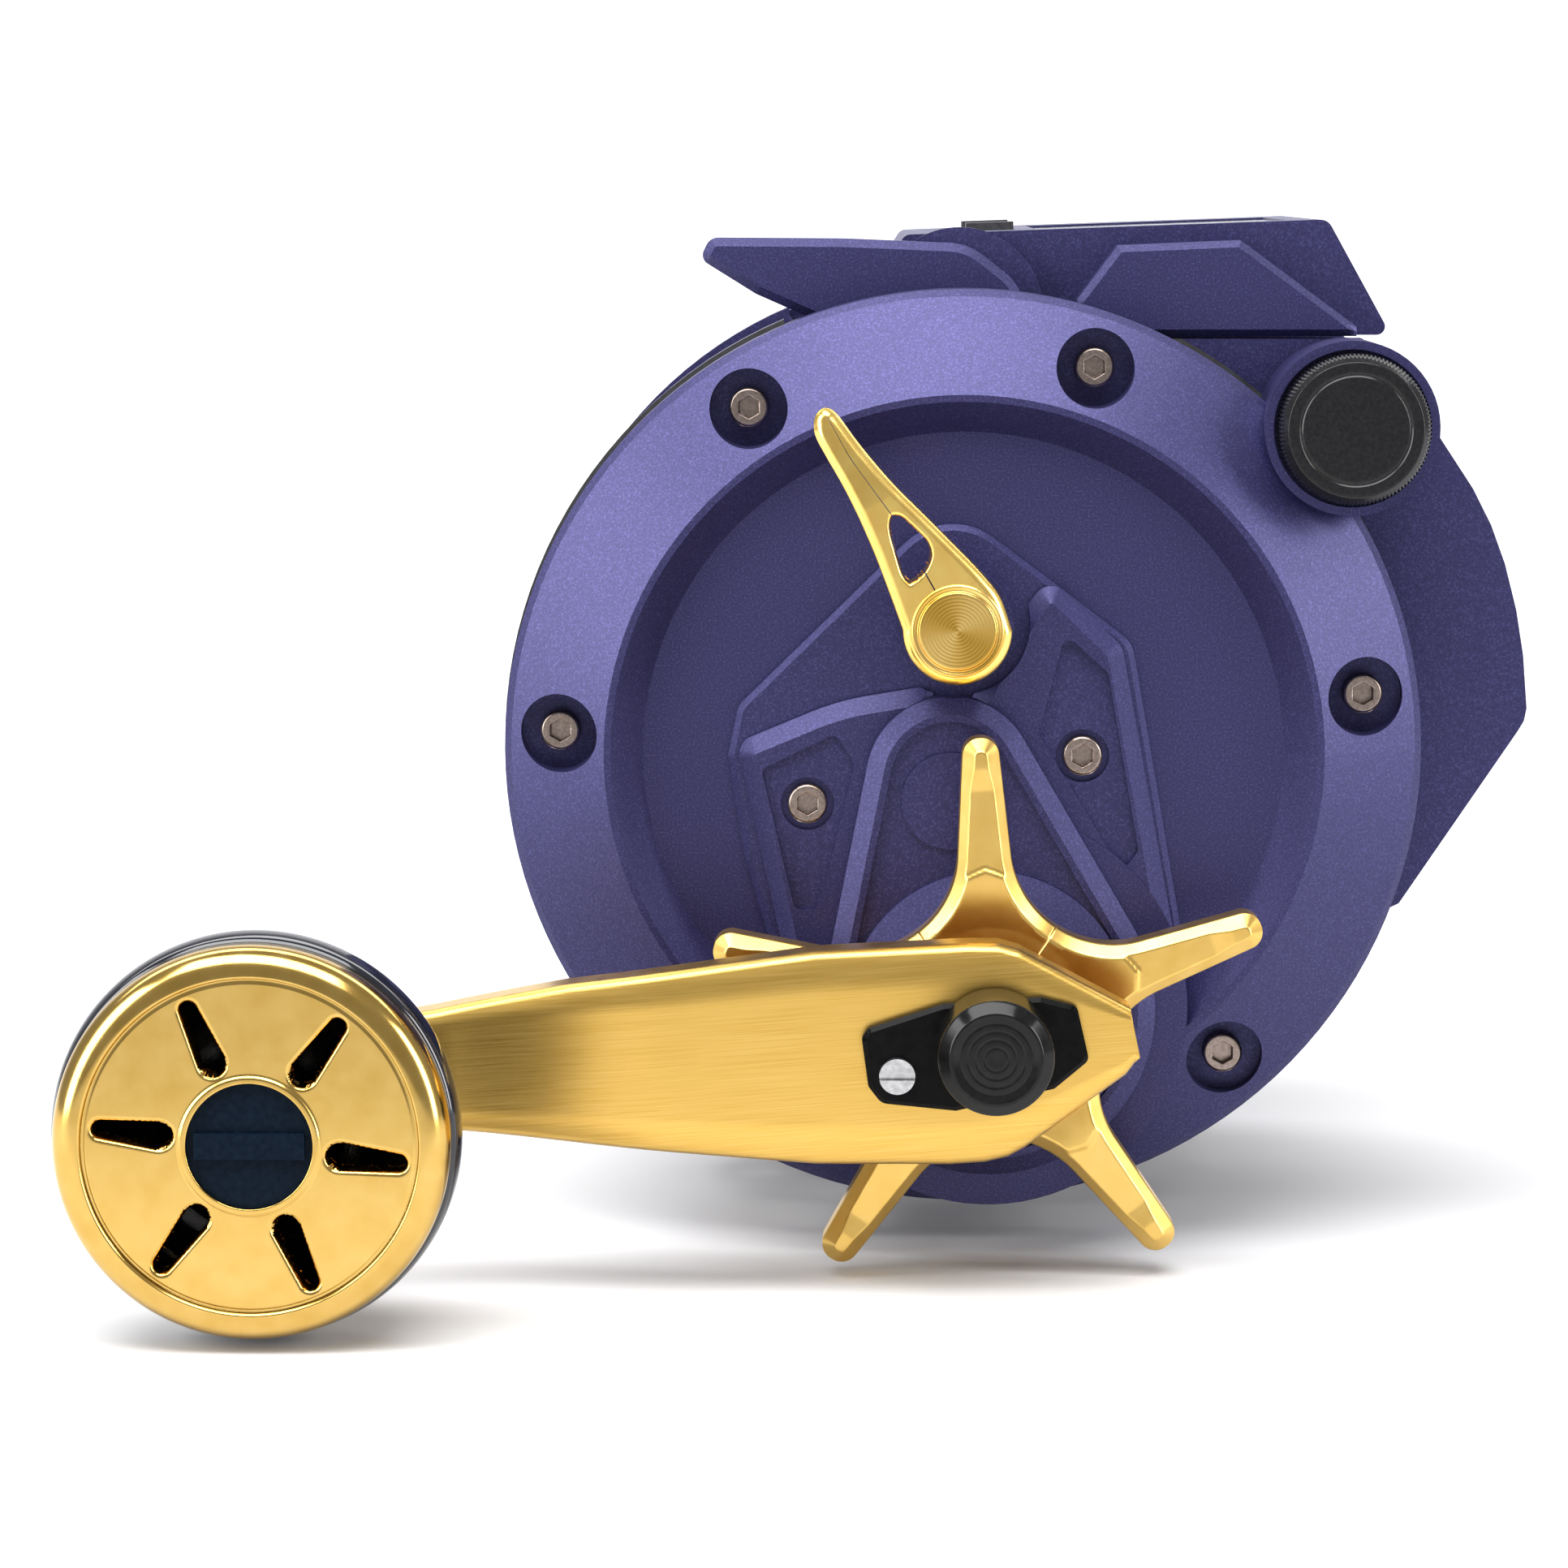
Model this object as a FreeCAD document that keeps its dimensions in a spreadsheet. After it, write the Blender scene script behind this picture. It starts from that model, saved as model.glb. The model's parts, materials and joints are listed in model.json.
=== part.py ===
import FreeCAD, Part
import Sketcher
import math
import os

# Powered star-drag reel, millimetres. X points forward to the rod tip, -Y is the handle side, +Z is up.
# The origin is the centre of the foot's flat seat face. Depth is measured from the spool's middle plane
# towards the handle side, so depth = -y.

doc = FreeCAD.newDocument("Reel")
sheet = doc.addObject("Spreadsheet::Sheet", "Sizes")
Vector = FreeCAD.Vector
nodes = []


class Size:
    """A length that carries its value and the sheet expression it comes from."""

    def __init__(self, value, text):
        self.value = float(value)
        self.text = text

    def __add__(self, other):
        other = asSize(other)
        return Size(self.value + other.value, "(%s + %s)" % (self.text, other.text))

    def __sub__(self, other):
        other = asSize(other)
        return Size(self.value - other.value, "(%s - %s)" % (self.text, other.text))

    def __mul__(self, factor):
        factor = asSize(factor)
        return Size(self.value * factor.value, "(%s * %s)" % (self.text, factor.text))

    def __truediv__(self, factor):
        factor = asSize(factor)
        return Size(self.value / factor.value, "(%s / %s)" % (self.text, factor.text))

    def __radd__(self, other):
        return asSize(other) + self

    def __rsub__(self, other):
        return asSize(other) - self

    def __neg__(self):
        return Size(-self.value, "(-%s)" % self.text)

    def __float__(self):
        return self.value


def asSize(number):
    if isinstance(number, Size):
        return number
    return Size(float(number), "%.6f" % number)


sheetRows = []


def size(alias, value):
    """Write one driving dimension to the sheet and hand it back."""
    sheetRows.append(alias)
    cell = "B%d" % len(sheetRows)
    sheet.set("A%d" % len(sheetRows), alias)
    sheet.set(cell, str(value))
    sheet.setAlias(cell, alias)
    return Size(float(value), "Sizes.%s" % alias)


# Frame and spool
spoolHeight = size("spoolHeight", 46)
spoolWidth = size("spoolWidth", 54)
flangeRadius = size("flangeRadius", 36)
arborRadius = size("arborRadius", 17.5)
spoolWall = size("spoolWall", 2.5)
endGap = size("endGap", 1)
plateThickness = size("plateThickness", 4)
plateRadius = size("plateRadius", 54)
coverRadius = size("coverRadius", 53.5)
gasketThickness = size("gasketThickness", 1)
wall = size("wall", 2)
pillarRadius = size("pillarRadius", 3.2)
pillarCircle = size("pillarCircle", 46)
# Right side cover, in depth beyond the gasket
coverRimDepth = size("coverRimDepth", 9)
dishRimDepth = size("dishRimDepth", 16)
dishFloorDepth = size("dishFloorDepth", 12)
dishRimRadius = size("dishRimRadius", 40.8)
dishFloorRadius = size("dishFloorRadius", 37.2)
coverScrewCircle = size("coverScrewCircle", 47)
pocketRadius = size("pocketRadius", 4.55)
screwHeadRadius = size("screwHeadRadius", 2.28)
screwShankRadius = size("screwShankRadius", 1.25)
screwHeadHeight = size("screwHeadHeight", 2.2)
# Left side cover
leftRimDepth = size("leftRimDepth", 11)
leftDomeDepth = size("leftDomeDepth", 19)
# Foot
footLength = size("footLength", 72)
footWidth = size("footWidth", 20)
footThickness = size("footThickness", 3.5)
footHoleSpacing = size("footHoleSpacing", 52)
footHoleRadius = size("footHoleRadius", 2.75)
bridgeThickness = size("bridgeThickness", 5)
bridgeLength = size("bridgeLength", 34)
# Crank
crankForward = size("crankForward", 2.9)
crankDrop = size("crankDrop", 29.4)
shaftRadius = size("shaftRadius", 4)
handleLength = size("handleLength", 80.1)
armThickness = size("armThickness", 6)
armReach = size("armReach", 12)
starRadius = size("starRadius", 33.1)
starHeight = size("starHeight", 9)
knobRadius = size("knobRadius", 22.2)
knobCapRadius = size("knobCapRadius", 21.3)
knobReach = size("knobReach", 30)
# Clutch lever
clutchBack = size("clutchBack", 1)
clutchRise = size("clutchRise", 15.4)
clutchHubRadius = size("clutchHubRadius", 6.2)
# Counter, speed lever and level wind
leverRise = size("leverRise", 50.6)
leverDiscRadius = size("leverDiscRadius", 9.9)
guideForward = size("guideForward", 44.7)
guideRise = size("guideRise", 37.6)
wormRadius = size("wormRadius", 3.5)
bossRadius = size("bossRadius", 10.1)
capRadius = size("capRadius", 8.75)
motorRadius = size("motorRadius", 13)
runningFit = size("runningFit", 0.05)
doc.recompute()

# Places worked out from the driving dimensions
spoolHalf = spoolWidth / 2
plateInner = spoolHalf + endGap
plateOuter = plateInner + plateThickness
coverBase = plateOuter + gasketThickness
rimDepth = coverBase + coverRimDepth
dishRim = coverBase + dishRimDepth
dishFloor = coverBase + dishFloorDepth
leftRim = coverBase + leftRimDepth
leftDome = coverBase + leftDomeDepth
flangeThickness = 2.0
gearPressureAngle = math.radians(25)

spoolAxis = (Size(0, "0"), spoolHeight)
crankAxis = (crankForward, spoolHeight - crankDrop)
clutchAxis = (-clutchBack, spoolHeight + clutchRise)
leverAxis = (Size(-0.3, "-0.3"), spoolHeight + leverRise)
guideAxis = (guideForward, spoolHeight + guideRise)
handleAngle = 184.68
knobAxis = (crankAxis[0] + handleLength * math.cos(math.radians(handleAngle)),
            crankAxis[1] + handleLength * math.sin(math.radians(handleAngle)))
coverScrewAngles = [122, 177.3, 71.3, 8.1, -49.4, -117]
pillarAngles = [150, 195, 230, 318]


# Sketch and feature helpers
def originPlane(body, role):
    for feature in body.Origin.OriginFeatures:
        if feature.Role == role:
            return feature


def newBody(name, axis=None):
    body = doc.addObject("PartDesign::Body", name)
    body.Label = name
    if axis:
        body.setExpression("Placement.Base.x", axis[0].text)
        body.setExpression("Placement.Base.z", axis[1].text)
    nodes.append(body)
    return body


def newSketch(body, name, role, offset=None):
    sketch = body.newObject("Sketcher::SketchObject", name)
    sketch.AttachmentSupport = (originPlane(body, role), [""])
    sketch.MapMode = "FlatFace"
    if offset is not None:
        sketch.setExpression("AttachmentOffset.Base.z", asSize(offset).text)
    return sketch


def pinPoint(sketch, geometry, position, u, v):
    """Bind one point of a sketch to two sizes measured from the sketch's origin."""
    for kind, amount, axisIndex in (("DistanceX", asSize(u), -2), ("DistanceY", asSize(v), -1)):
        if abs(amount.value) < 1e-9:
            sketch.addConstraint(Sketcher.Constraint("PointOnObject", geometry, position, axisIndex))
        else:
            bound = Sketcher.Constraint(kind, -1, 1, geometry, position, amount.value)
            index = sketch.addConstraint(bound)
            sketch.setExpression("Constraints[%d]" % index, amount.text)


def drawPolygon(sketch, points):
    """Closed outline whose every corner is bound to the sheet."""
    first = sketch.GeometryCount
    count = len(points)
    for index in range(count):
        start = Vector(float(points[index][0]), float(points[index][1]), 0)
        following = points[(index + 1) % count]
        end = Vector(float(following[0]), float(following[1]), 0)
        sketch.addGeometry(Part.LineSegment(start, end))
    for index in range(count):
        after = first + (index + 1) % count
        sketch.addConstraint(Sketcher.Constraint("Coincident", first + index, 2, after, 1))
    for index in range(count):
        pinPoint(sketch, first + index, 1, points[index][0], points[index][1])


def drawCircle(sketch, u, v, radius):
    radius = asSize(radius)
    circle = Part.Circle(Vector(float(u), float(v), 0), Vector(0, 0, 1), radius.value)
    geometry = sketch.addGeometry(circle)
    pinPoint(sketch, geometry, 3, u, v)
    index = sketch.addConstraint(Sketcher.Constraint("Radius", geometry, radius.value))
    sketch.setExpression("Constraints[%d]" % index, radius.text)


def turn(body, profile):
    """Revolve a (radius, depth) profile about the body's own Y axis."""
    sketch = newSketch(body, body.Label + "Profile", "XY_Plane")
    drawPolygon(sketch, [(radius, -asSize(depth)) for radius, depth in profile])
    feature = body.newObject("PartDesign::Revolution", body.Label + "Turn")
    feature.Profile = (sketch, [""])
    feature.ReferenceAxis = (sketch, ["V_Axis"])
    feature.Angle = 360
    return feature


def pad(body, name, back, front, draw):
    """Extrude what draw() puts on the XZ plane from depth back to depth front."""
    sketch = newSketch(body, name + "Sketch", "XZ_Plane", back)
    draw(sketch)
    feature = body.newObject("PartDesign::Pad", name)
    feature.Profile = (sketch, [""])
    feature.setExpression("Length", (asSize(front) - back).text)
    return feature


def pocket(body, name, front, back, draw):
    """Cut what draw() puts on the XZ plane, from depth front in to depth back."""
    sketch = newSketch(body, name + "Sketch", "XZ_Plane", front)
    draw(sketch)
    feature = body.newObject("PartDesign::Pocket", name)
    feature.Profile = (sketch, [""])
    feature.setExpression("Length", (asSize(front) - back).text)
    return feature


def turned(name, axis, profile):
    body = newBody(name, axis)
    turn(body, profile)
    return body


def ring(name, axis, inner, outer, back, front):
    return turned(name, axis, [(inner, back), (outer, back), (outer, front), (inner, front)])


def shapeNode(name, shape):
    """A sub-part whose shape neither a sketch feature nor a primitive gives."""
    feature = doc.addObject("Part::Feature", name)
    feature.Label = name
    feature.Shape = shape
    nodes.append(feature)
    return feature


def rod(axis, radius, back, front):
    """Plain cylinder along Y between two depths."""
    base = Vector(float(axis[0]), -float(front), float(axis[1]))
    return Part.makeCylinder(float(radius), float(front) - float(back), base, Vector(0, 1, 0))


def prism(points, back, front):
    """Straight-sided solid over a closed X, Z outline between two depths."""
    corners = [Vector(float(x), -float(back), float(z)) for x, z in points]
    face = Part.Face(Part.makePolygon(corners + corners[:1]))
    return face.extrude(Vector(0, float(back) - float(front), 0))


def onCircle(axis, radius, degrees):
    angle = math.radians(degrees)
    return (axis[0] + asSize(radius) * math.cos(angle), axis[1] + asSize(radius) * math.sin(angle))


# Gears
def gearModule(distance, *teethAlong):
    """Module that makes a straight chain of gears fill a distance: ends count once, idlers twice."""
    total = teethAlong[0] + teethAlong[-1] + 2 * sum(teethAlong[1:-1])
    return 2.0 * distance / total


def gearOutline(teeth, module, phase):
    """Involute tooth outline, first tooth centred on phase (radians), with backlash and root clearance."""
    pitch = module * teeth / 2.0
    base = pitch * math.cos(gearPressureAngle)
    tip = pitch + 0.94 * module
    root = pitch - 1.2 * module
    backlashAngle = 0.05 * module / pitch
    involuteAtPitch = math.tan(gearPressureAngle) - gearPressureAngle
    halfAtPitch = math.pi / (2 * teeth) - backlashAngle
    steps = 4
    start = max(base, root)
    flank = []
    for step in range(steps + 1):
        radius = start + (tip - start) * step / steps
        pressure = math.acos(min(1.0, base / radius))
        half = halfAtPitch + involuteAtPitch - (math.tan(pressure) - pressure)
        flank.append((radius, half))
    points = []
    for tooth in range(teeth):
        centre = phase + 2 * math.pi * tooth / teeth
        side = [(root, flank[0][1])] + flank
        for radius, half in side:
            points.append((radius * math.cos(centre - half), radius * math.sin(centre - half)))
        for radius, half in reversed(side):
            points.append((radius * math.cos(centre + half), radius * math.sin(centre + half)))
    return points


def gear(axis, teeth, module, phase, back, front, bore):
    points = [(float(axis[0]) + x, float(axis[1]) + z) for x, z in gearOutline(teeth, module, phase)]
    blank = prism(points, back, front)
    if bore:
        blank = blank.cut(rod(axis, bore, back, front))
    return blank


def meshPhase(phase, teeth, nextTeeth, towards):
    """Phase that puts the next gear in mesh; towards is the direction from this gear to it."""
    ratio = teeth / nextTeeth
    return towards + math.pi - (phase - towards) * ratio - math.pi / nextTeeth


def direction(axis, other):
    return math.atan2(float(other[1]) - float(axis[1]), float(other[0]) - float(axis[0]))


def distance(axis, other):
    return math.hypot(float(other[0]) - float(axis[0]), float(other[1]) - float(axis[1]))


# Fasteners
def capScrew(axis, front, length, headRadius, shankRadius, headHeight):
    """Hexagon-socket cap screw whose head starts at depth front and whose shank runs inwards."""
    head = rod(axis, headRadius, front - headHeight, front)
    shank = rod(axis, shankRadius, front - headHeight - length, front - headHeight)
    socketRadius = 0.5 * headRadius
    corners = [(float(axis[0]) + socketRadius * math.cos(math.pi * k / 3),
                float(axis[1]) + socketRadius * math.sin(math.pi * k / 3)) for k in range(6)]
    socket = prism(corners, front - 0.6 * headHeight, front)
    return head.fuse(shank).cut(socket)


def mirrored(shape):
    """The same shape on the other side of the spool's middle plane."""
    return shape.mirror(Vector(0, 0, 0), Vector(0, 1, 0))


# Foot and frame
screwHeight = float(screwHeadHeight)
footScrewSpacing = 20.0
footScrewHead = 2.8
footScrewShank = 1.6


def buildFoot():
    body = newBody("foot")
    sketch = newSketch(body, "footSketch", "XY_Plane")
    halfLength = footLength / 2
    halfWidth = footWidth / 2
    nose = halfWidth * 0.45
    drawPolygon(sketch, [(-halfLength, -nose), (-halfLength * 0.8, -halfWidth), (halfLength * 0.8, -halfWidth),
                         (halfLength, -nose), (halfLength, nose), (halfLength * 0.8, halfWidth),
                         (-halfLength * 0.8, halfWidth), (-halfLength, nose)])
    slab = body.newObject("PartDesign::Pad", "footPad")
    slab.Profile = (sketch, [""])
    slab.setExpression("Length", footThickness.text)
    holes = newSketch(body, "footHoles", "XY_Plane")
    for side in (-1, 1):
        drawCircle(holes, footHoleSpacing * (side / 2), 0, footHoleRadius)
        drawCircle(holes, side * footScrewSpacing / 2, 0, footScrewShank)
    drill = body.newObject("PartDesign::Pocket", "footDrill")
    drill.Profile = (holes, [""])
    drill.Reversed = True
    drill.setExpression("Length", footThickness.text)
    seats = newSketch(body, "footSeats", "XY_Plane")
    for side in (-1, 1):
        drawCircle(seats, side * footScrewSpacing / 2, 0, footScrewHead)
    counterbore = body.newObject("PartDesign::Pocket", "footCounterbore")
    counterbore.Profile = (seats, [""])
    counterbore.Reversed = True
    counterbore.setExpression("Length", (footThickness / 2).text)


def buildBridge():
    body = newBody("foot_bridge")
    half = bridgeLength / 2
    low = footThickness
    high = footThickness + bridgeThickness
    pad(body, "bridgePad", -plateInner, plateInner,
        lambda sketch: drawPolygon(sketch, [(-half, low), (half, low), (half, high), (-half, high)]))
    sketch = newSketch(body, "bridgeHoles", "XY_Plane", low)
    for side in (-1, 1):
        drawCircle(sketch, side * footScrewSpacing / 2, 0, footScrewShank)
    drill = body.newObject("PartDesign::Pocket", "bridgeDrill")
    drill.Profile = (sketch, [""])
    drill.Reversed = True
    drill.setExpression("Length", (bridgeThickness - 1).text)

    def drawEnds(sketch):
        for place in bridgeScrewPlaces():
            drawCircle(sketch, place[0], place[1], screwShankRadius)
    pocket(body, "bridgeRightEnd", plateInner, plateInner - endScrewDepth, drawEnds)
    pocket(body, "bridgeLeftEnd", -plateInner + endScrewDepth, -plateInner, drawEnds)


def footScrews():
    screws = []
    headTop = float(footThickness) / 2
    length = headTop + float(bridgeThickness) - 1.0
    for side in (-1, 1):
        x = side * footScrewSpacing / 2
        head = Part.makeCylinder(footScrewHead, headTop - 0.3, Vector(x, 0, 0.3))
        shank = Part.makeCylinder(footScrewShank, length, Vector(x, 0, headTop))
        slot = Part.makeBox(4.4, 0.8, 0.8, Vector(x - 2.2, -0.4, 0.3))
        screws.append(head.fuse(shank).cut(slot))
    shapeNode("foot_screws", Part.makeCompound(screws))


# The plate reaches forward of its disc as a wing that guards the line guide
wingOutline = [(20, 50.5), (30, 47.5), (47, 47.5), (56.1, 36.1), (60.2, 29.9), (62.4, 25.6), (64.1, 21.0),
               (65.5, 15.6), (66.4, 10.2), (66.9, 3.9), (66.6, 2.4), (65.9, 1.2), (52.1, -19.4), (30, -30)]
notchHalf = 13.2
notchFloor = 39.6
notchRear = 21.0
notchShoulder = 48.5
counterFloor = 47.5


def buildPlate(name, back, front, bores):
    """Frame plate between two depths; bores lists the holes through it as (axis, radius)."""
    body = newBody(name)
    pad(body, name + "Disc", back, front, lambda sketch: drawCircle(sketch, 0, spoolHeight, plateRadius))
    wing = [(asSize(x), spoolHeight + z) for x, z in wingOutline]
    pad(body, name + "Wing", back, front, lambda sketch: drawPolygon(sketch, wing))
    pad(body, name + "Boss", back, front,
        lambda sketch: drawCircle(sketch, guideAxis[0], guideAxis[1], bossRadius))
    top = spoolHeight + plateRadius + 1
    notch = [(-notchRear, spoolHeight + notchShoulder), (-notchHalf, spoolHeight + notchFloor),
             (notchHalf, spoolHeight + notchFloor),
             (notchHalf, spoolHeight + counterFloor), (bossRadius + guideForward, spoolHeight + counterFloor),
             (bossRadius + guideForward, top), (-notchRear, top)]
    pocket(body, name + "Notch", front, back, lambda sketch: drawPolygon(sketch, notch))

    def drawBores(sketch):
        for axis, radius in bores:
            drawCircle(sketch, axis[0], axis[1], radius)
    pocket(body, name + "Bores", front, back, drawBores)


bearingOuter = 8.0
crankBearingOuter = 7.5
wormBushRadius = wormRadius + runningFit
leftBearingOuter = arborRadius + 5


def pillarPlaces():
    return [onCircle(spoolAxis, pillarCircle, angle) for angle in pillarAngles]


def coverScrewPlaces():
    return [onCircle(spoolAxis, coverScrewCircle, angle) for angle in coverScrewAngles]


bridgeScrewReach = 13.5
endScrewDepth = 8.0


def bridgeScrewPlaces():
    middle = footThickness + bridgeThickness / 2
    return [(asSize(side * bridgeScrewReach), middle) for side in (-1, 1)]


def buildFrame():
    shared = [(place, screwShankRadius) for place in pillarPlaces() + bridgeScrewPlaces()]
    right = [(spoolAxis, bearingOuter), (crankAxis, crankBearingOuter), (guideAxis, wormBushRadius)]
    right += [(place, screwShankRadius) for place in coverScrewPlaces()]
    left = [(spoolAxis, leftBearingOuter), (guideAxis, wormBushRadius)]
    left += [(place, screwShankRadius) for place in coverScrewPlaces()]
    buildPlate("right_frame_plate", plateInner, plateOuter, right + shared)
    buildPlate("left_frame_plate", -plateOuter, -plateInner, left + shared)
    pillars = []
    for place in pillarPlaces():
        bar = rod(place, pillarRadius, -plateInner, plateInner)
        for back, front in ((-plateInner, -plateInner + endScrewDepth), (plateInner - endScrewDepth, plateInner)):
            bar = bar.cut(rod(place, screwShankRadius, back, front))
        pillars.append(bar)
    shapeNode("frame_pillars", Part.makeCompound(pillars))
    screws = []
    for place in pillarPlaces() + bridgeScrewPlaces():
        shank = rod(place, screwShankRadius, plateInner - endScrewDepth, plateOuter)
        screws += [shank, mirrored(shank)]
    shapeNode("frame_screws", Part.makeCompound(screws))


# Outlines with rounded corners
def roundedFace(points, depth):
    """Face over a closed X, Z outline; each corner is (x, z, radius of its arc)."""
    count = len(points)
    starts = []
    ends = []
    middles = []
    for index in range(count):
        x, z, radius = [float(number) for number in points[index]]
        corner = Vector(x, -float(depth), z)
        before = points[index - 1]
        after = points[(index + 1) % count]
        toBefore = (Vector(float(before[0]), -float(depth), float(before[1])) - corner).normalize()
        toAfter = (Vector(float(after[0]), -float(depth), float(after[1])) - corner).normalize()
        halfTurn = toBefore.getAngle(toAfter) / 2
        reach = radius / math.tan(halfTurn) if radius else 0.0
        starts.append(corner + toBefore * reach)
        ends.append(corner + toAfter * reach)
        bisector = (toBefore + toAfter).normalize() if radius else Vector(0, 0, 0)
        middles.append(corner + bisector * (radius / math.sin(halfTurn) - radius) if radius else None)
    edges = []
    for index in range(count):
        if middles[index]:
            edges.append(Part.Arc(starts[index], middles[index], ends[index]).toShape())
        after = (index + 1) % count
        if (starts[after] - ends[index]).Length > 1e-6:
            edges.append(Part.LineSegment(ends[index], starts[after]).toShape())
    return Part.Face(Part.Wire(edges))


def roundedPrism(points, back, front):
    return roundedFace(points, back).extrude(Vector(0, float(back) - float(front), 0))


def bevelled(points, back, front, bevel):
    """Prism whose front edge is chamfered all round; corner arcs are larger than the bevel, or nought."""
    shoulder = float(front) - bevel
    face = roundedFace(points, shoulder)
    inner = face.makeOffset2D(-bevel, 2)
    inner.translate(Vector(0, -bevel, 0))
    crown = Part.makeLoft([face.OuterWire, inner.OuterWire], True, True)
    return roundedPrism(points, back, shoulder).fuse(crown)


def about(axis, points):
    """Corners given from an axis, moved to the reel's frame."""
    return [(float(axis[0]) + point[0], float(axis[1]) + point[1]) + tuple(point[2:]) for point in points]


def revolved(axis, profile):
    """Solid turned about a Y axis from (radius, depth) corners."""
    corners = [Vector(float(radius), -float(depth), 0) for radius, depth in profile]
    face = Part.Face(Part.makePolygon(corners + corners[:1]))
    solid = face.revolve(Vector(0, 0, 0), Vector(0, 1, 0), 360)
    solid.translate(Vector(float(axis[0]), 0, float(axis[1])))
    return solid


def hull(axisA, radiusA, axisB, radiusB, back, front):
    """Two discs joined by their outer tangents."""
    gap = distance(axisA, axisB)
    heading = direction(axisA, axisB)
    tilt = math.acos((float(radiusA) - float(radiusB)) / gap)
    corners = []
    for sign in (1, -1):
        angle = heading + sign * tilt
        pair = [(float(axis[0]) + float(radius) * math.cos(angle), float(axis[1]) + float(radius) * math.sin(angle))
                for axis, radius in ((axisA, radiusA), (axisB, radiusB))]
        corners += pair if sign > 0 else pair[::-1]
    body = prism(corners, back, front)
    return body.fuse(rod(axisA, radiusA, back, front)).fuse(rod(axisB, radiusB, back, front))


# Side covers
casePlateDepth = dishFloor + 1.5
wingDepth = dishFloor + 4
teardropDepth = dishFloor + 6.5
driveBossDepth = dishFloor + 8
starFront = driveBossDepth + starHeight
armFront = starFront + armReach
knobFront = armFront + knobReach
driveBossRadius = 16.3
driveOpening = 14.5
caseLobe = 19.3
lobeRadius = 23.1
clutchBossRadius = 6.6
clutchBossDepth = dishFloor + 8
clutchShaftRadius = 2.5
guideBossDepth = coverBase + 12.5
capSeatDepth = coverBase + 10.5
capSeatRadius = capRadius + 0.35
guideBossCavity = bossRadius - 1.7
capStemRadius = 4.0
pocketDepth = 5.5
postWall = 1.2
rimChamfer = 0.8


def annulusDepth(radius):
    """Depth of the cover's sloping outer ring at a radius."""
    outer = float(coverRadius) - rimChamfer
    inner = float(dishRimRadius) + rimChamfer
    share = (outer - radius) / (outer - inner)
    return float(rimDepth) + share * (float(dishRim) - float(rimDepth))


def screwedCover(outside, cavity, places, surface, base, rim):
    """Hollow cover with a post and a sunk pocket for each screw; surface is the depth at the screws."""
    floor = surface - pocketDepth
    for place in places:
        cavity = cavity.cut(rod(place, pocketRadius + postWall, base, rim))
    shell = outside.cut(cavity)
    for place in places:
        shell = shell.cut(rod(place, pocketRadius, floor, rim))
        shell = shell.cut(rod(place, screwShankRadius, base, floor))
    return shell


def casePlateOutline():
    lobe = lobeRadius
    right = (crankForward.value + lobe, -crankDrop.value, 0)
    left = (crankForward.value - lobe, -crankDrop.value, 0)
    return about(spoolAxis, [(-2.0, 29.1, 8), (19.5, 12.9, 4), (25.3, -20.1, 0), right, left,
                             (-25.3, -12.6, 0), (-27.3, -0.3, 2),
                             (-26.1, 5.5, 3)])


def buildRightCover():
    outside = revolved(spoolAxis, [(0, coverBase), (coverRadius, coverBase), (coverRadius, rimDepth - rimChamfer),
                                   (coverRadius - rimChamfer, rimDepth), (dishRimRadius + rimChamfer, dishRim),
                                   (dishRimRadius, dishRim), (dishFloorRadius, dishFloor), (0, dishFloor)])
    inner = coverRadius - wall
    cavity = revolved(spoolAxis, [(0, coverBase), (inner, coverBase), (inner, rimDepth - wall),
                                  (dishRimRadius + wall, dishRim - wall - 0.6), (dishRimRadius, dishRim - wall - 0.6),
                                  (dishFloorRadius, dishFloor - wall), (0, dishFloor - wall)])
    outside = outside.fuse(bevelled(casePlateOutline(), dishFloor - 1, casePlateDepth, 0.7))
    outside = outside.fuse(rod(crankAxis, lobeRadius, coverBase + 6, wingDepth + 0.3))
    outside = outside.fuse(rod(clutchAxis, clutchBossRadius, dishFloor - 1, clutchBossDepth))
    outside = outside.fuse(rod(guideAxis, bossRadius, coverBase, guideBossDepth))
    surface = annulusDepth(float(coverScrewCircle))
    shell = screwedCover(outside, cavity, coverScrewPlaces(), surface, coverBase, dishRim)
    shell = shell.cut(rod(guideAxis, guideBossCavity, coverBase, capSeatDepth - wall))
    shell = shell.cut(rod(guideAxis, capSeatRadius, capSeatDepth, dishRim))
    shell = shell.cut(rod(guideAxis, capStemRadius + float(runningFit), coverBase, guideBossDepth))
    idler, tipRadius = outerIdler()
    shell = shell.cut(rod(idler, tipRadius + 0.5, coverBase, guideGearFront + 0.4))
    shell = shell.cut(rod(crankAxis, driveOpening, coverBase, wingDepth + 1))
    shell = shell.cut(rod(crankAxis, caseLobe + 0.02, casePlateDepth, wingDepth + 1))
    shell = shell.cut(rod(clutchAxis, clutchShaftRadius + float(runningFit), coverBase, clutchBossDepth))
    for place in gearCaseScrewPlaces():
        shell = shell.cut(rod(place, screwShankRadius, dishFloor - wall, casePlateDepth))
    shapeNode("right_side_cover", shell.removeSplitter())
    screws = [capScrew(place, surface - pocketDepth + screwHeight, surface - pocketDepth - float(plateInner),
                       float(screwHeadRadius), screwShankRadius, screwHeight)
              for place in coverScrewPlaces()]
    return screws


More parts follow.
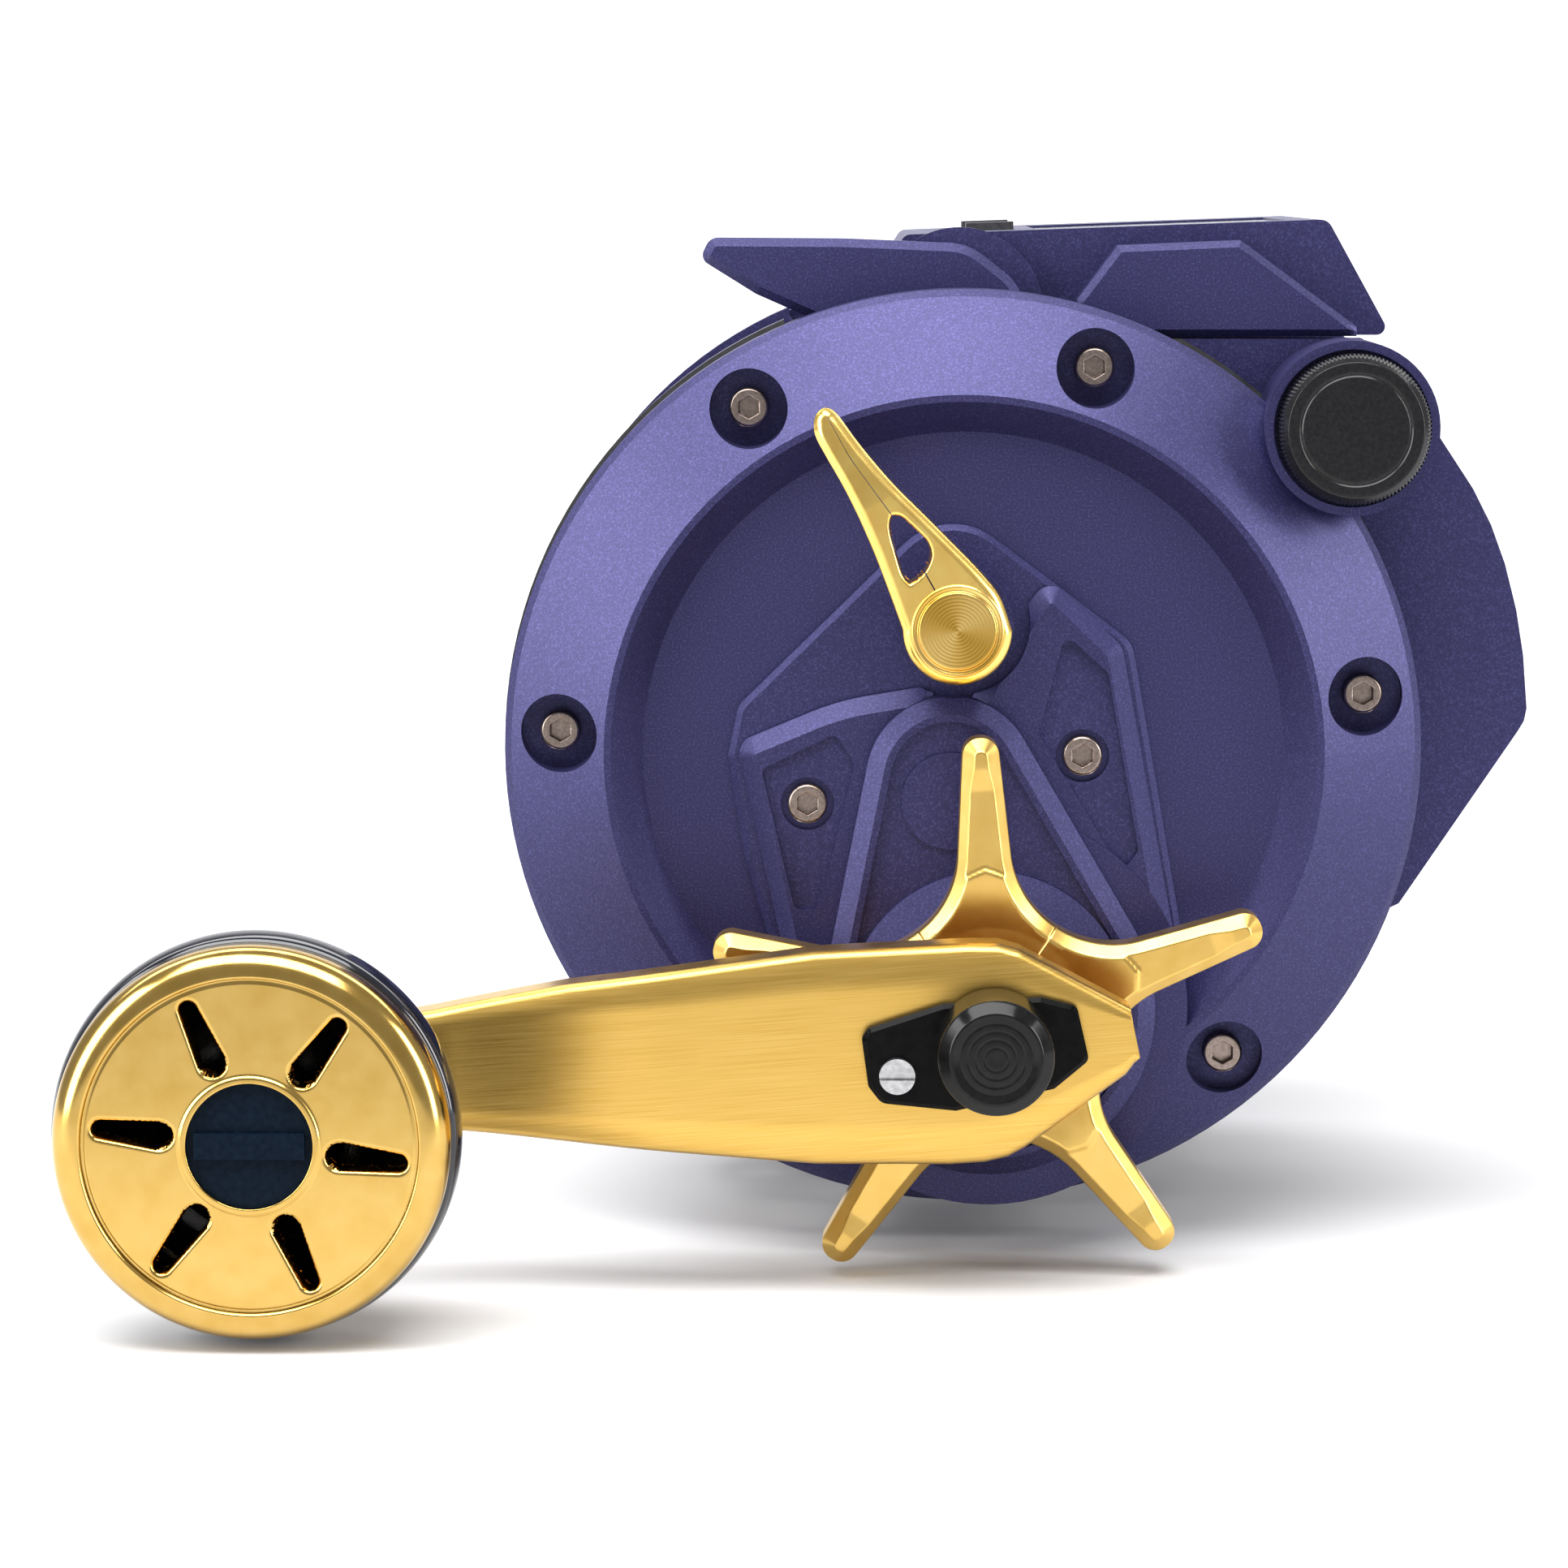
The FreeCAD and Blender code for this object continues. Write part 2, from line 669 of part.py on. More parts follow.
def buildLeftCover():
    domeRadius = dishRimRadius
    outside = revolved(spoolAxis, [(0, coverBase), (coverRadius, coverBase), (coverRadius, leftRim - rimChamfer),
                                   (coverRadius - rimChamfer, leftRim), (domeRadius, leftDome - 1),
                                   (domeRadius - 3, leftDome), (0, leftDome)])
    inner = coverRadius - wall
    cavity = revolved(spoolAxis, [(0, coverBase), (inner, coverBase), (inner, leftRim - wall),
                                  (domeRadius, leftDome - 1 - wall - 0.6), (0, leftDome - 1 - wall - 0.6)])
    slope = (float(coverRadius) - rimChamfer - float(coverScrewCircle)) / (
        float(coverRadius) - rimChamfer - float(domeRadius))
    surface = float(leftRim) + slope * (float(leftDome) - 1 - float(leftRim))
    places = coverScrewPlaces()
    shell = screwedCover(outside, cavity, places, surface, coverBase, leftDome)
    socket = socketAxis()
    shell = shell.fuse(rod(socket, socketRadius + wall, leftRim - 2, leftDome + 1))
    shell = shell.cut(rod(socket, socketRadius, leftRim - 4, leftDome + 1))
    shapeNode("left_side_cover", mirrored(shell.removeSplitter()))
    return [mirrored(capScrew(place, surface - pocketDepth + screwHeight, surface - pocketDepth - float(plateInner),
                              float(screwHeadRadius), screwShankRadius, screwHeight)) for place in places]


def buildGaskets():
    right = rod(spoolAxis, plateRadius, plateOuter, coverBase)
    right = right.cut(rod(spoolAxis, coverRadius - wall, plateOuter, coverBase))
    left = mirrored(right)
    shapes = [right, left]
    for index, places in enumerate((coverScrewPlaces(), coverScrewPlaces())):
        for place in places:
            hole = rod(place, screwShankRadius, plateInner, coverBase + 1)
            shapes[index] = shapes[index].cut(mirrored(hole) if index else hole)
    top = Part.makeBox(140, 200, 60, Vector(-notchHalf, -100, float(spoolHeight) + counterFloor))
    notch = Part.makeBox(notchHalf + notchRear, 200, 60, Vector(-notchRear, -100, float(spoolHeight) + notchFloor))
    shapeNode("cover_gaskets", Part.makeCompound([shape.cut(top).cut(notch) for shape in shapes]))


def tangentWire(axisA, radiusA, axisB, radiusB, depth):
    """Closed outline of two arcs joined by their outer tangents."""
    heading = direction(axisA, axisB)
    tilt = math.acos((float(radiusA) - float(radiusB)) / distance(axisA, axisB))

    def on(axis, radius, angle):
        return Vector(float(axis[0]) + float(radius) * math.cos(angle), -float(depth),
                      float(axis[1]) + float(radius) * math.sin(angle))
    startA = on(axisA, radiusA, heading + tilt)
    endA = on(axisA, radiusA, heading - tilt)
    startB = on(axisB, radiusB, heading - tilt)
    endB = on(axisB, radiusB, heading + tilt)
    arcA = Part.Arc(startA, on(axisA, radiusA, heading + math.pi), endA).toShape()
    arcB = Part.Arc(startB, on(axisB, radiusB, heading), endB).toShape()
    return Part.Wire([arcA, Part.LineSegment(endA, startB).toShape(), arcB, Part.LineSegment(endB, startA).toShape()])


def gearCaseScrewPlaces():
    return [(Size(-18.04, "0"), spoolHeight - 5.64), (Size(13.69, "0"), spoolHeight - 0.03)]


wingBevel = 1.9


def buildGearCase():
    leftWing = about(spoolAxis, [(-3.7, 8.0, 0), (-14.5, 6.2, 30), (-26.3, 1.3, 2.2), (-20.9, -22.8, 0), (-14, -44, 0),
                                 (2, -30, 0)])
    rightWing = about(spoolAxis, [(6.6, 16.4, 0), (9.8, 20.6, 2.2), (18.3, 12.5, 3), (24.3, -20, 0), (20, -44, 0),
                                  (2, -30, 0), (0, 5, 0)])
    case = bevelled(leftWing, casePlateDepth, wingDepth, wingBevel)
    case = case.fuse(bevelled(rightWing, casePlateDepth, wingDepth, wingBevel))
    case = case.fuse(rod(crankAxis, caseLobe, casePlateDepth, wingDepth))
    for outline in ([(-23.4, -1.6, 1), (-14.8, 2.6, 1), (-12.6, -1, 1), (-16.8, -18, 1), (-19.5, -18, 1)],
                    [(11.6, 14.2, 1), (16.6, 9.6, 1), (20.2, -11, 1), (18.4, -13.6, 1), (8.6, 2.6, 1)]):
        case = case.cut(roundedPrism(about(spoolAxis, outline), wingDepth - 0.8, wingDepth))
    head = (spoolAxis[0] - 1.6, spoolAxis[1] - 2.7)
    case = case.fuse(hull(head, 9.7, crankAxis, caseLobe, casePlateDepth, teardropDepth - 1))
    crown = Part.makeLoft([tangentWire(head, 9.7, crankAxis, caseLobe, teardropDepth - 1),
                           tangentWire(head, 7.7, crankAxis, caseLobe - 2, teardropDepth)], True, True)
    case = case.fuse(crown)
    case = case.cut(hull(head, 6.9, crankAxis, caseLobe - 2.8, teardropDepth - 0.7, teardropDepth))
    case = case.fuse(rod((head[0], head[1] - 2.3), 5.6, teardropDepth - 0.7, teardropDepth - 0.2))
    boss = revolved(crankAxis, [(0, wingDepth), (driveBossRadius, wingDepth), (driveBossRadius, driveBossDepth - 1.6),
                                (driveBossRadius - 4, driveBossDepth), (0, driveBossDepth)])
    case = case.fuse(boss)
    case = case.cut(rod(clutchAxis, clutchBossRadius + 2.0, casePlateDepth, driveBossDepth))
    case = case.common(rod(spoolAxis, coverRadius, casePlateDepth, driveBossDepth))
    case = case.cut(rod(crankAxis, driveOpening, casePlateDepth, driveBossDepth - wall))
    case = case.cut(rod(crankAxis, 7.0, casePlateDepth, driveBossDepth))
    lobeOutside = rod(crankAxis, 60, casePlateDepth, wingDepth + 0.3).cut(
        rod(crankAxis, caseLobe, casePlateDepth, wingDepth + 0.3))
    seat = rod(crankAxis, lobeRadius, casePlateDepth, wingDepth + 0.3).common(lobeOutside)
    case = case.cut(seat)
    rim = revolved(spoolAxis, [(dishFloorRadius, dishFloor), (60, dishFloor), (60, wingDepth),
                               (dishRimRadius, wingDepth)])
    case = case.cut(rim.cut(rod(crankAxis, caseLobe, dishFloor, wingDepth)))
    for place in gearCaseScrewPlaces():
        case = case.cut(rod(place, screwHeadRadius + 0.8, wingDepth - 1.6, wingDepth))
        case = case.cut(rod(place, screwShankRadius, casePlateDepth, wingDepth))
    shapeNode("gear_case_cover", case.removeSplitter())
    screws = [capScrew(place, float(wingDepth) - 1.6 + 1.2, 2.4 + 1.5, float(screwHeadRadius), screwShankRadius, 1.2)
              for place in gearCaseScrewPlaces()]
    shapeNode("gear_case_screws", Part.makeCompound(screws))


# Spool and motor
spoolShaftRadius = 4.0
motorWall = 1.2
motorBack = 18.0
ringGearTeeth = 50
reductionPinionTeeth = 12
reductionWheelTeeth = 50
motorPinionTeeth = 12
powerModule = 0.8
sleeveLength = 4.2
ringGearWidth = 3.2
mountDepth = coverBase + 4.2
reductionAngle = math.radians(210)
reductionDistance = powerModule * (ringGearTeeth + reductionPinionTeeth) / 2.0
reductionAxleRadius = 2.0
guideGearTeeth = [22, 24, 20, 14]
guideGearBack = coverBase + 0.4
guideGearFront = coverBase + 3.4
driveTeeth = 40
pinionTeeth = 18
driveBack = coverBase + 4.4
driveFront = driveBack + 3.0


def socketAxis():
    return onCircle(spoolAxis, 36.0, -42)


socketRadius = 6.0


def reductionAxis():
    return (float(spoolAxis[0]) + reductionDistance * math.cos(reductionAngle),
            float(spoolAxis[1]) + reductionDistance * math.sin(reductionAngle))


def buildSpool():
    half = spoolHalf
    inner = arborRadius - spoolWall
    flangeIn = half - flangeThickness
    webBack = half - 4.0
    sleeve = plateOuter + sleeveLength
    turned("spool", spoolAxis, [
        (spoolShaftRadius, webBack), (spoolShaftRadius, half), (flangeRadius, half), (flangeRadius, flangeIn),
        (arborRadius + 2, flangeIn - 1.5), (arborRadius, flangeIn - 4), (arborRadius, -(flangeIn - 4)),
        (arborRadius + 2, -(flangeIn - 1.5)), (flangeRadius, -flangeIn), (flangeRadius, -half),
        (arborRadius, -half), (arborRadius, -sleeve), (inner, -sleeve), (inner, webBack)])
    shaft = rod(spoolAxis, spoolShaftRadius, webBack, driveFront + 2.2)
    teeth = guideGearTeeth[0]
    module = gearModule(distance(spoolAxis, guideAxis), *guideGearTeeth)
    shaft = shaft.fuse(gear(spoolAxis, teeth, module, 0.0, guideGearBack, guideGearFront, 0))
    shapeNode("spool_shaft", shaft)
    ring("right_spool_bearing", spoolAxis, spoolShaftRadius, bearingOuter, plateInner, plateOuter)
    ring("left_spool_bearing", spoolAxis, arborRadius, leftBearingOuter, -plateOuter, -plateInner)
    ringGear = gear(spoolAxis, ringGearTeeth, powerModule, 0.0, -(coverBase + ringGearWidth), -coverBase, arborRadius)
    shapeNode("spool_ring_gear", ringGear)


def buildMotor():
    outer = motorRadius
    inner = motorRadius - motorWall
    tail = mountDepth
    turned("motor_can", spoolAxis, [
        (0, motorBack), (outer, motorBack), (outer, -tail), (2.2, -tail), (2.2, -(tail - 1.5)), (inner, -(tail - 1.5)),
        (inner, motorBack - motorWall), (0, motorBack - motorWall)])
    rotorProfile = [(0, motorBack - motorWall - 2), (motorRadius - motorWall - 1, motorBack - motorWall - 2),
                    (motorRadius - motorWall - 1, -(tail - 4)), (2.0, -(tail - 4)), (2.0, -(tail + 3.2)),
                    (0, -(tail + 3.2))]
    rotor = revolved(spoolAxis, rotorProfile)
    towards = reductionAngle
    smallPhase = meshPhase(0.0, ringGearTeeth, reductionPinionTeeth, towards)
    motorPhase = meshPhase(smallPhase, reductionWheelTeeth, motorPinionTeeth, towards + math.pi)
    wheelBack = -(tail + 3.2)
    wheelFront = -(tail + 0.6)
    rotor = rotor.fuse(gear(spoolAxis, motorPinionTeeth, powerModule, motorPhase, wheelBack - 0.3, wheelFront, 0))
    shapeNode("motor_rotor", rotor)
    axis = reductionAxis()
    small = gear(axis, reductionPinionTeeth, powerModule, smallPhase, -(coverBase + 3.2), -coverBase - 0.2, 0)
    wheel = gear(axis, reductionWheelTeeth, powerModule, smallPhase, wheelBack, wheelFront, 0)
    neck = rod(axis, 3.4, wheelBack, -coverBase - 0.2)
    block = small.fuse(neck).fuse(wheel)
    block = block.cut(rod(axis, reductionAxleRadius + float(runningFit), -80, 0))
    shapeNode("reduction_gear", block)
    mount = rod(spoolAxis, motorRadius + 3, -tail, -(coverBase + 3.5))
    for place in motorLegPlaces():
        mount = mount.fuse(hull(spoolAxis, 5.0, place, 4.0, -tail, -(coverBase + 3.5)))
        mount = mount.fuse(rod(place, 4.0, -tail, -plateOuter))
    mount = mount.cut(rod(spoolAxis, motorRadius, -90, 0))
    mount = mount.cut(rod(axis, 5.0, -90, 0))
    shapeNode("motor_mount", mount)


def motorLegPlaces():
    return [onCircle(spoolAxis, 28.5, angle) for angle in (97, -20)]


# Crank, drag and clutch
starBack = driveBossDepth + 1.2
ratchetTeeth = 12
pinionHubRadius = 5.5


def buildDriveTrain():
    shaftEnd = plateInner + 0.5
    nutBase = armFront + 2
    turned("drive_shaft", crankAxis, [
        (0, shaftEnd), (shaftRadius, shaftEnd), (shaftRadius, nutBase + 6), (0, nutBase + 6)])
    bearings = [rod(crankAxis, crankBearingOuter, plateInner, plateOuter),
                rod(crankAxis, 7.0, driveBossDepth - wall, driveBossDepth)]
    fit = shaftRadius + runningFit
    bearings = [bearing.cut(rod(crankAxis, fit, 0, 90)) for bearing in bearings]
    shapeNode("drive_shaft_bearings", Part.makeCompound(bearings))
    module = gearModule(distance(crankAxis, spoolAxis), driveTeeth, pinionTeeth)
    towards = direction(crankAxis, spoolAxis)
    drive = gear(crankAxis, driveTeeth, module, towards, driveBack, driveFront, shaftRadius)
    drive = drive.cut(rod(crankAxis, 15.0, driveBack + 1.6, driveFront))
    shapeNode("drive_gear", drive)
    pinionPhase = meshPhase(towards, driveTeeth, pinionTeeth, towards)
    pinion = gear(spoolAxis, pinionTeeth, module, pinionPhase, driveBack, driveFront, 0)
    pinion = pinion.fuse(rod(spoolAxis, pinionHubRadius, driveFront, driveFront + 1.6))
    pinion = pinion.cut(rod(spoolAxis, spoolShaftRadius + float(runningFit), 0, 90))
    shapeNode("pinion_gear", pinion)
    washers = []
    depth = float(driveBack) + 1.6
    for _ in range(3):
        washers.append(rod(crankAxis, 14.5, depth, depth + 0.8).cut(rod(crankAxis, shaftRadius, 0, 90)))
        depth += 0.9
    shapeNode("drag_washers", Part.makeCompound(washers))
    plateBack = depth
    ring("pressure_plate", crankAxis, shaftRadius, 13.5, plateBack, plateBack + 2)
    springs = []
    depth = plateBack + 2.0
    for _ in range(2):
        springs.append(revolved(crankAxis, [(shaftRadius, depth), (9, depth + 0.9), (9, depth + 1.5),
                                            (shaftRadius, depth + 0.6)]))
        depth += 1.6
    shapeNode("spring_washers", Part.makeCompound(springs))
    teeth = []
    for tooth in range(ratchetTeeth):
        angle = 2 * math.pi * tooth / ratchetTeeth
        for share, radius in ((0.0, 11.5), (0.12, 9.4)):
            turnAngle = angle + share * 2 * math.pi / ratchetTeeth
            teeth.append((float(crankAxis[0]) + radius * math.cos(turnAngle),
                          float(crankAxis[1]) + radius * math.sin(turnAngle)))
    wheel = prism(teeth, guideGearBack, guideGearBack + 2).cut(rod(crankAxis, shaftRadius, 0, 90))
    shapeNode("ratchet_wheel", wheel)
    pawlAxis = (float(crankAxis[0]) - 17.0, float(crankAxis[1]) - 1.0)
    pawl = hull(pawlAxis, 2.6, (pawlAxis[0] + 4.2, pawlAxis[1] + 1.5), 0.8, guideGearBack, guideGearBack + 2)
    pawl = pawl.fuse(rod(pawlAxis, 1.5, plateOuter, guideGearBack))
    shapeNode("ratchet_pawl", pawl)


def buildClutch():
    lobeBack = driveFront - 2.2
    lobeFront = driveFront + 0.2
    cam = rod(clutchAxis, clutchShaftRadius, lobeBack, clutchBossDepth + 5)
    cam = cam.fuse(hull(clutchAxis, 3.0, (clutchAxis[0] + 3.6, clutchAxis[1]), 1.8, lobeBack, lobeFront))
    shapeNode("clutch_cam", cam)
    yokeBack = lobeFront + 0.2
    yoke = hull(spoolAxis, pinionHubRadius + 2.6, clutchAxis, clutchShaftRadius + 2.0, yokeBack, yokeBack + 0.8)
    yoke = yoke.cut(rod(spoolAxis, pinionHubRadius + 0.35, 0, 90))
    yoke = yoke.cut(rod(clutchAxis, clutchShaftRadius + 0.35, 0, 90))
    shapeNode("clutch_yoke", yoke)
    back = clutchBossDepth + 0.4
    front = clutchBossDepth + 7.5
    lever = about(clutchAxis, [(-6.3, 0, 0), (-8.1, 7.1, 6), (-10.1, 12.6, 10), (-16.3, 22.9, 2), (-15.7, 25.7, 0.7),
                               (-14.1, 25.6, 0.7), (-12.6, 21.5, 3), (4.2, 6.1, 8), (6.1, 0, 0)])
    blade = bevelled(lever, back + 2.5, front, 0.5)
    blade = blade.fuse(rod(clutchAxis, clutchHubRadius, back, front))
    window = roundedPrism(about(clutchAxis, [(-8.0, 14.2, 0.8), (-2.4, 8.4, 1.2), (-4.1, 5.1, 0.9), (-6.2, 5.3, 0.5)]),
                          back, front)
    blade = blade.cut(window)
    blade = blade.cut(rod(clutchAxis, clutchHubRadius - 0.8, front - 0.8, front))
    blade = blade.cut(rod(clutchAxis, clutchShaftRadius, back, clutchBossDepth + 5))
    shapeNode("clutch_lever", blade)
    turned("clutch_lever_cap", clutchAxis, [(0, front - 0.8), (clutchHubRadius - 0.85, front - 0.8),
                                            (clutchHubRadius - 0.85, front), (clutchHubRadius - 1.2, front + 0.4),
                                            (0, front + 0.4)])


def buildStar():
    tip = 2.1
    valleyRadius = 6.8
    valleyArc = 11.7
    corners = []
    for arm in range(5):
        angle = math.radians(92.3 + 72 * arm)
        for side in (-1, 1):
            x = float(starRadius)
            z = side * tip
            corners.append((x * math.cos(angle) - z * math.sin(angle), x * math.sin(angle) + z * math.cos(angle),
                            tip - 0.1))
        valley = angle + math.radians(36)
        corners.append((valleyRadius * math.cos(valley), valleyRadius * math.sin(valley), valleyArc))
    star = bevelled(about(crankAxis, corners), starFront - 5.5, starFront, 1.4)
    star = star.fuse(rod(crankAxis, 12.5, starBack, starFront + 1.5))
    star = star.cut(rod(crankAxis, shaftRadius + runningFit, 0, 90))
    shapeNode("star_drag", star.removeSplitter())


def alongArm(points):
    """Corners given along and across the handle arm, moved to the reel's frame."""
    angle = math.radians(handleAngle)
    placed = []
    for along, across, radius in points:
        x = float(crankAxis[0]) + along * math.cos(angle) - across * math.sin(angle)
        z = float(crankAxis[1]) + along * math.sin(angle) + across * math.cos(angle)
        placed.append((x, z, radius))
    return placed


armDrop = 3.0
retainerThickness = 1.8


def buildHandle():
    length = float(handleLength)
    outline = alongArm([(length + 6, -6.4, 6), (length - 18, -8.1, 30), (length - 33, -10.0, 0), (19, -11.7, 0),
                        (-2.5, -10.8, 5), (-15.5, -2.5, 2), (-16.2, 3.1, 1), (-14.4, 4.9, 2), (-2.4, 12.2, 3),
                        (3, 13.8, 6), (21, 12.2, 0), (length - 20, 5.5, 30), (length + 6, 5.9, 6)])
    front = float(armFront)
    thick = float(armThickness)
    nutBack = front + retainerThickness
    bendStart = float(starRadius) + 3
    bendEnd = length - 20
    farEnd = length + 12
    side = [(-20, front), (bendStart, front), (bendEnd, front - armDrop), (farEnd, front - armDrop),
            (farEnd, front - armDrop - thick), (bendEnd, front - armDrop - thick), (bendStart, front - thick),
            (-20, front - thick)]
    corners = [Vector(along, -depth, -30) for along, depth in side]
    slab = Part.Face(Part.makePolygon(corners + corners[:1])).extrude(Vector(0, 0, 60))
    slab.rotate(Vector(0, 0, 0), Vector(0, 1, 0), -handleAngle)
    slab.translate(Vector(float(crankAxis[0]), 0, float(crankAxis[1])))
    arm = roundedPrism(outline, front - thick - armDrop, front).common(slab)
    sleeve = rod(crankAxis, 8.0, float(starFront) + 2.0, front - thick + 0.5)
    arm = arm.fuse(sleeve).cut(rod(crankAxis, shaftRadius, 0, 100))
    arm = arm.cut(rod(knobAxis, 2.5, 0, 100))
    shapeNode("handle_arm", arm.removeSplitter())
    retainer = alongArm([(14.6, -1.9, 1), (13.9, -2.9, 1), (5.3, -5.0, 0), (-5.6, -4.9, 0), (-9.5, -3.6, 1),
                         (-10.4, 2.6, 1), (-6.3, 5.5, 0), (4.8, 7.1, 0), (13, 5.6, 1.5), (14.3, 3.6, 1)])
    plate = bevelled(retainer, front, front + retainerThickness, 0.5)
    plate = plate.cut(rod(crankAxis, float(shaftRadius) + 0.3, front, front + 3))
    screwAxis = alongArm([(11.0, 2.5, 0)])[0][:2]
    plate = plate.cut(rod(screwAxis, 1.0, front, front + 3))
    shapeNode("nut_retainer", plate)
    turned("handle_nut", crankAxis, [(shaftRadius, nutBack), (6.4, nutBack), (6.4, front + 10.5), (5.2, front + 12),
                                     (0, front + 12), (0, front + 8), (shaftRadius, front + 8)])
    head = rod(screwAxis, 2.0, nutBack, front + 3.0)
    head = head.cut(Part.makeBox(5, 0.8, 0.8, Vector(screwAxis[0] - 2.5, -(front + 3.0), screwAxis[1] - 0.4)))
    shapeNode("retainer_screw", head.fuse(rod(screwAxis, 1.0, front, nutBack)))


def buildKnob():
    base = armFront - armDrop
    front = knobFront
    bore = 4.0
    seat = base + 0.4
    turned("knob_spindle", knobAxis, [
        (0, base - armThickness), (2.5, base - armThickness), (2.5, base), (bore - 0.05, base),
        (bore - 0.05, front - 8), (6, front - 8), (6, front - 6), (0, front - 6)])
    turned("knob_body", knobAxis, [
        (bore, seat), (9.2, seat), (9.8, seat + 1), (9.4, seat + 5), (13.5, seat + 11), (knobRadius - 2, seat + 17.5),
        (knobRadius, seat + 23), (knobRadius, seat + 25.5), (knobCapRadius, seat + 27.2),
        (knobCapRadius - 2.2, seat + 27.2),
        (knobCapRadius - 3.2, seat + 22), (8.5, seat + 16), (8.5, front - 8.4), (bore, front - 8.4)])
    capBack = seat + 27.2
    cap = revolved(knobAxis, [(7.2, front - 1.9), (18, front - 1.9), (knobCapRadius - 2.2, capBack),
                              (knobCapRadius, capBack), (knobCapRadius, front - 2.4), (knobCapRadius - 0.9, front - 0.7),
                              (knobCapRadius - 2.6, front), (18.2, front - 0.5), (7.2, front - 0.4)])
    for index in range(6):
        angle = -6.5 + 60 * index
        inner = onCircle(knobAxis, 9.7, angle)
        outer = onCircle(knobAxis, 15.9, angle)
        cap = cap.cut(hull(inner, 1.5, outer, 1.0, capBack, front))
    shapeNode("knob_cap", cap)
    plug = revolved(knobAxis, [(0, front - 4), (7.15, front - 4), (7.15, front - 1.2), (0, front - 1.2)])
    barCorners = about(knobAxis, [(-5.9, -1.4), (5.9, -1.4), (5.9, 1.4), (-5.9, 1.4)])
    plug = plug.fuse(prism(barCorners, front - 1.3, front - 0.4))
    shapeNode("knob_plug", plug)


# Level wind
eyeForward = 7.5
eyeDrop = 19.0
eyeRadius = 5.5
guideRodRadius = 1.5


def outerIdler():
    """Centre and tip radius of the idler that drives the worm gear."""
    module = gearModule(distance(spoolAxis, guideAxis), *guideGearTeeth)
    back = module * (guideGearTeeth[2] + guideGearTeeth[3]) / 2.0
    heading = direction(spoolAxis, guideAxis)
    centre = (float(guideAxis[0]) - back * math.cos(heading), float(guideAxis[1]) - back * math.sin(heading))
    return centre, module * (guideGearTeeth[2] / 2.0 + 1)


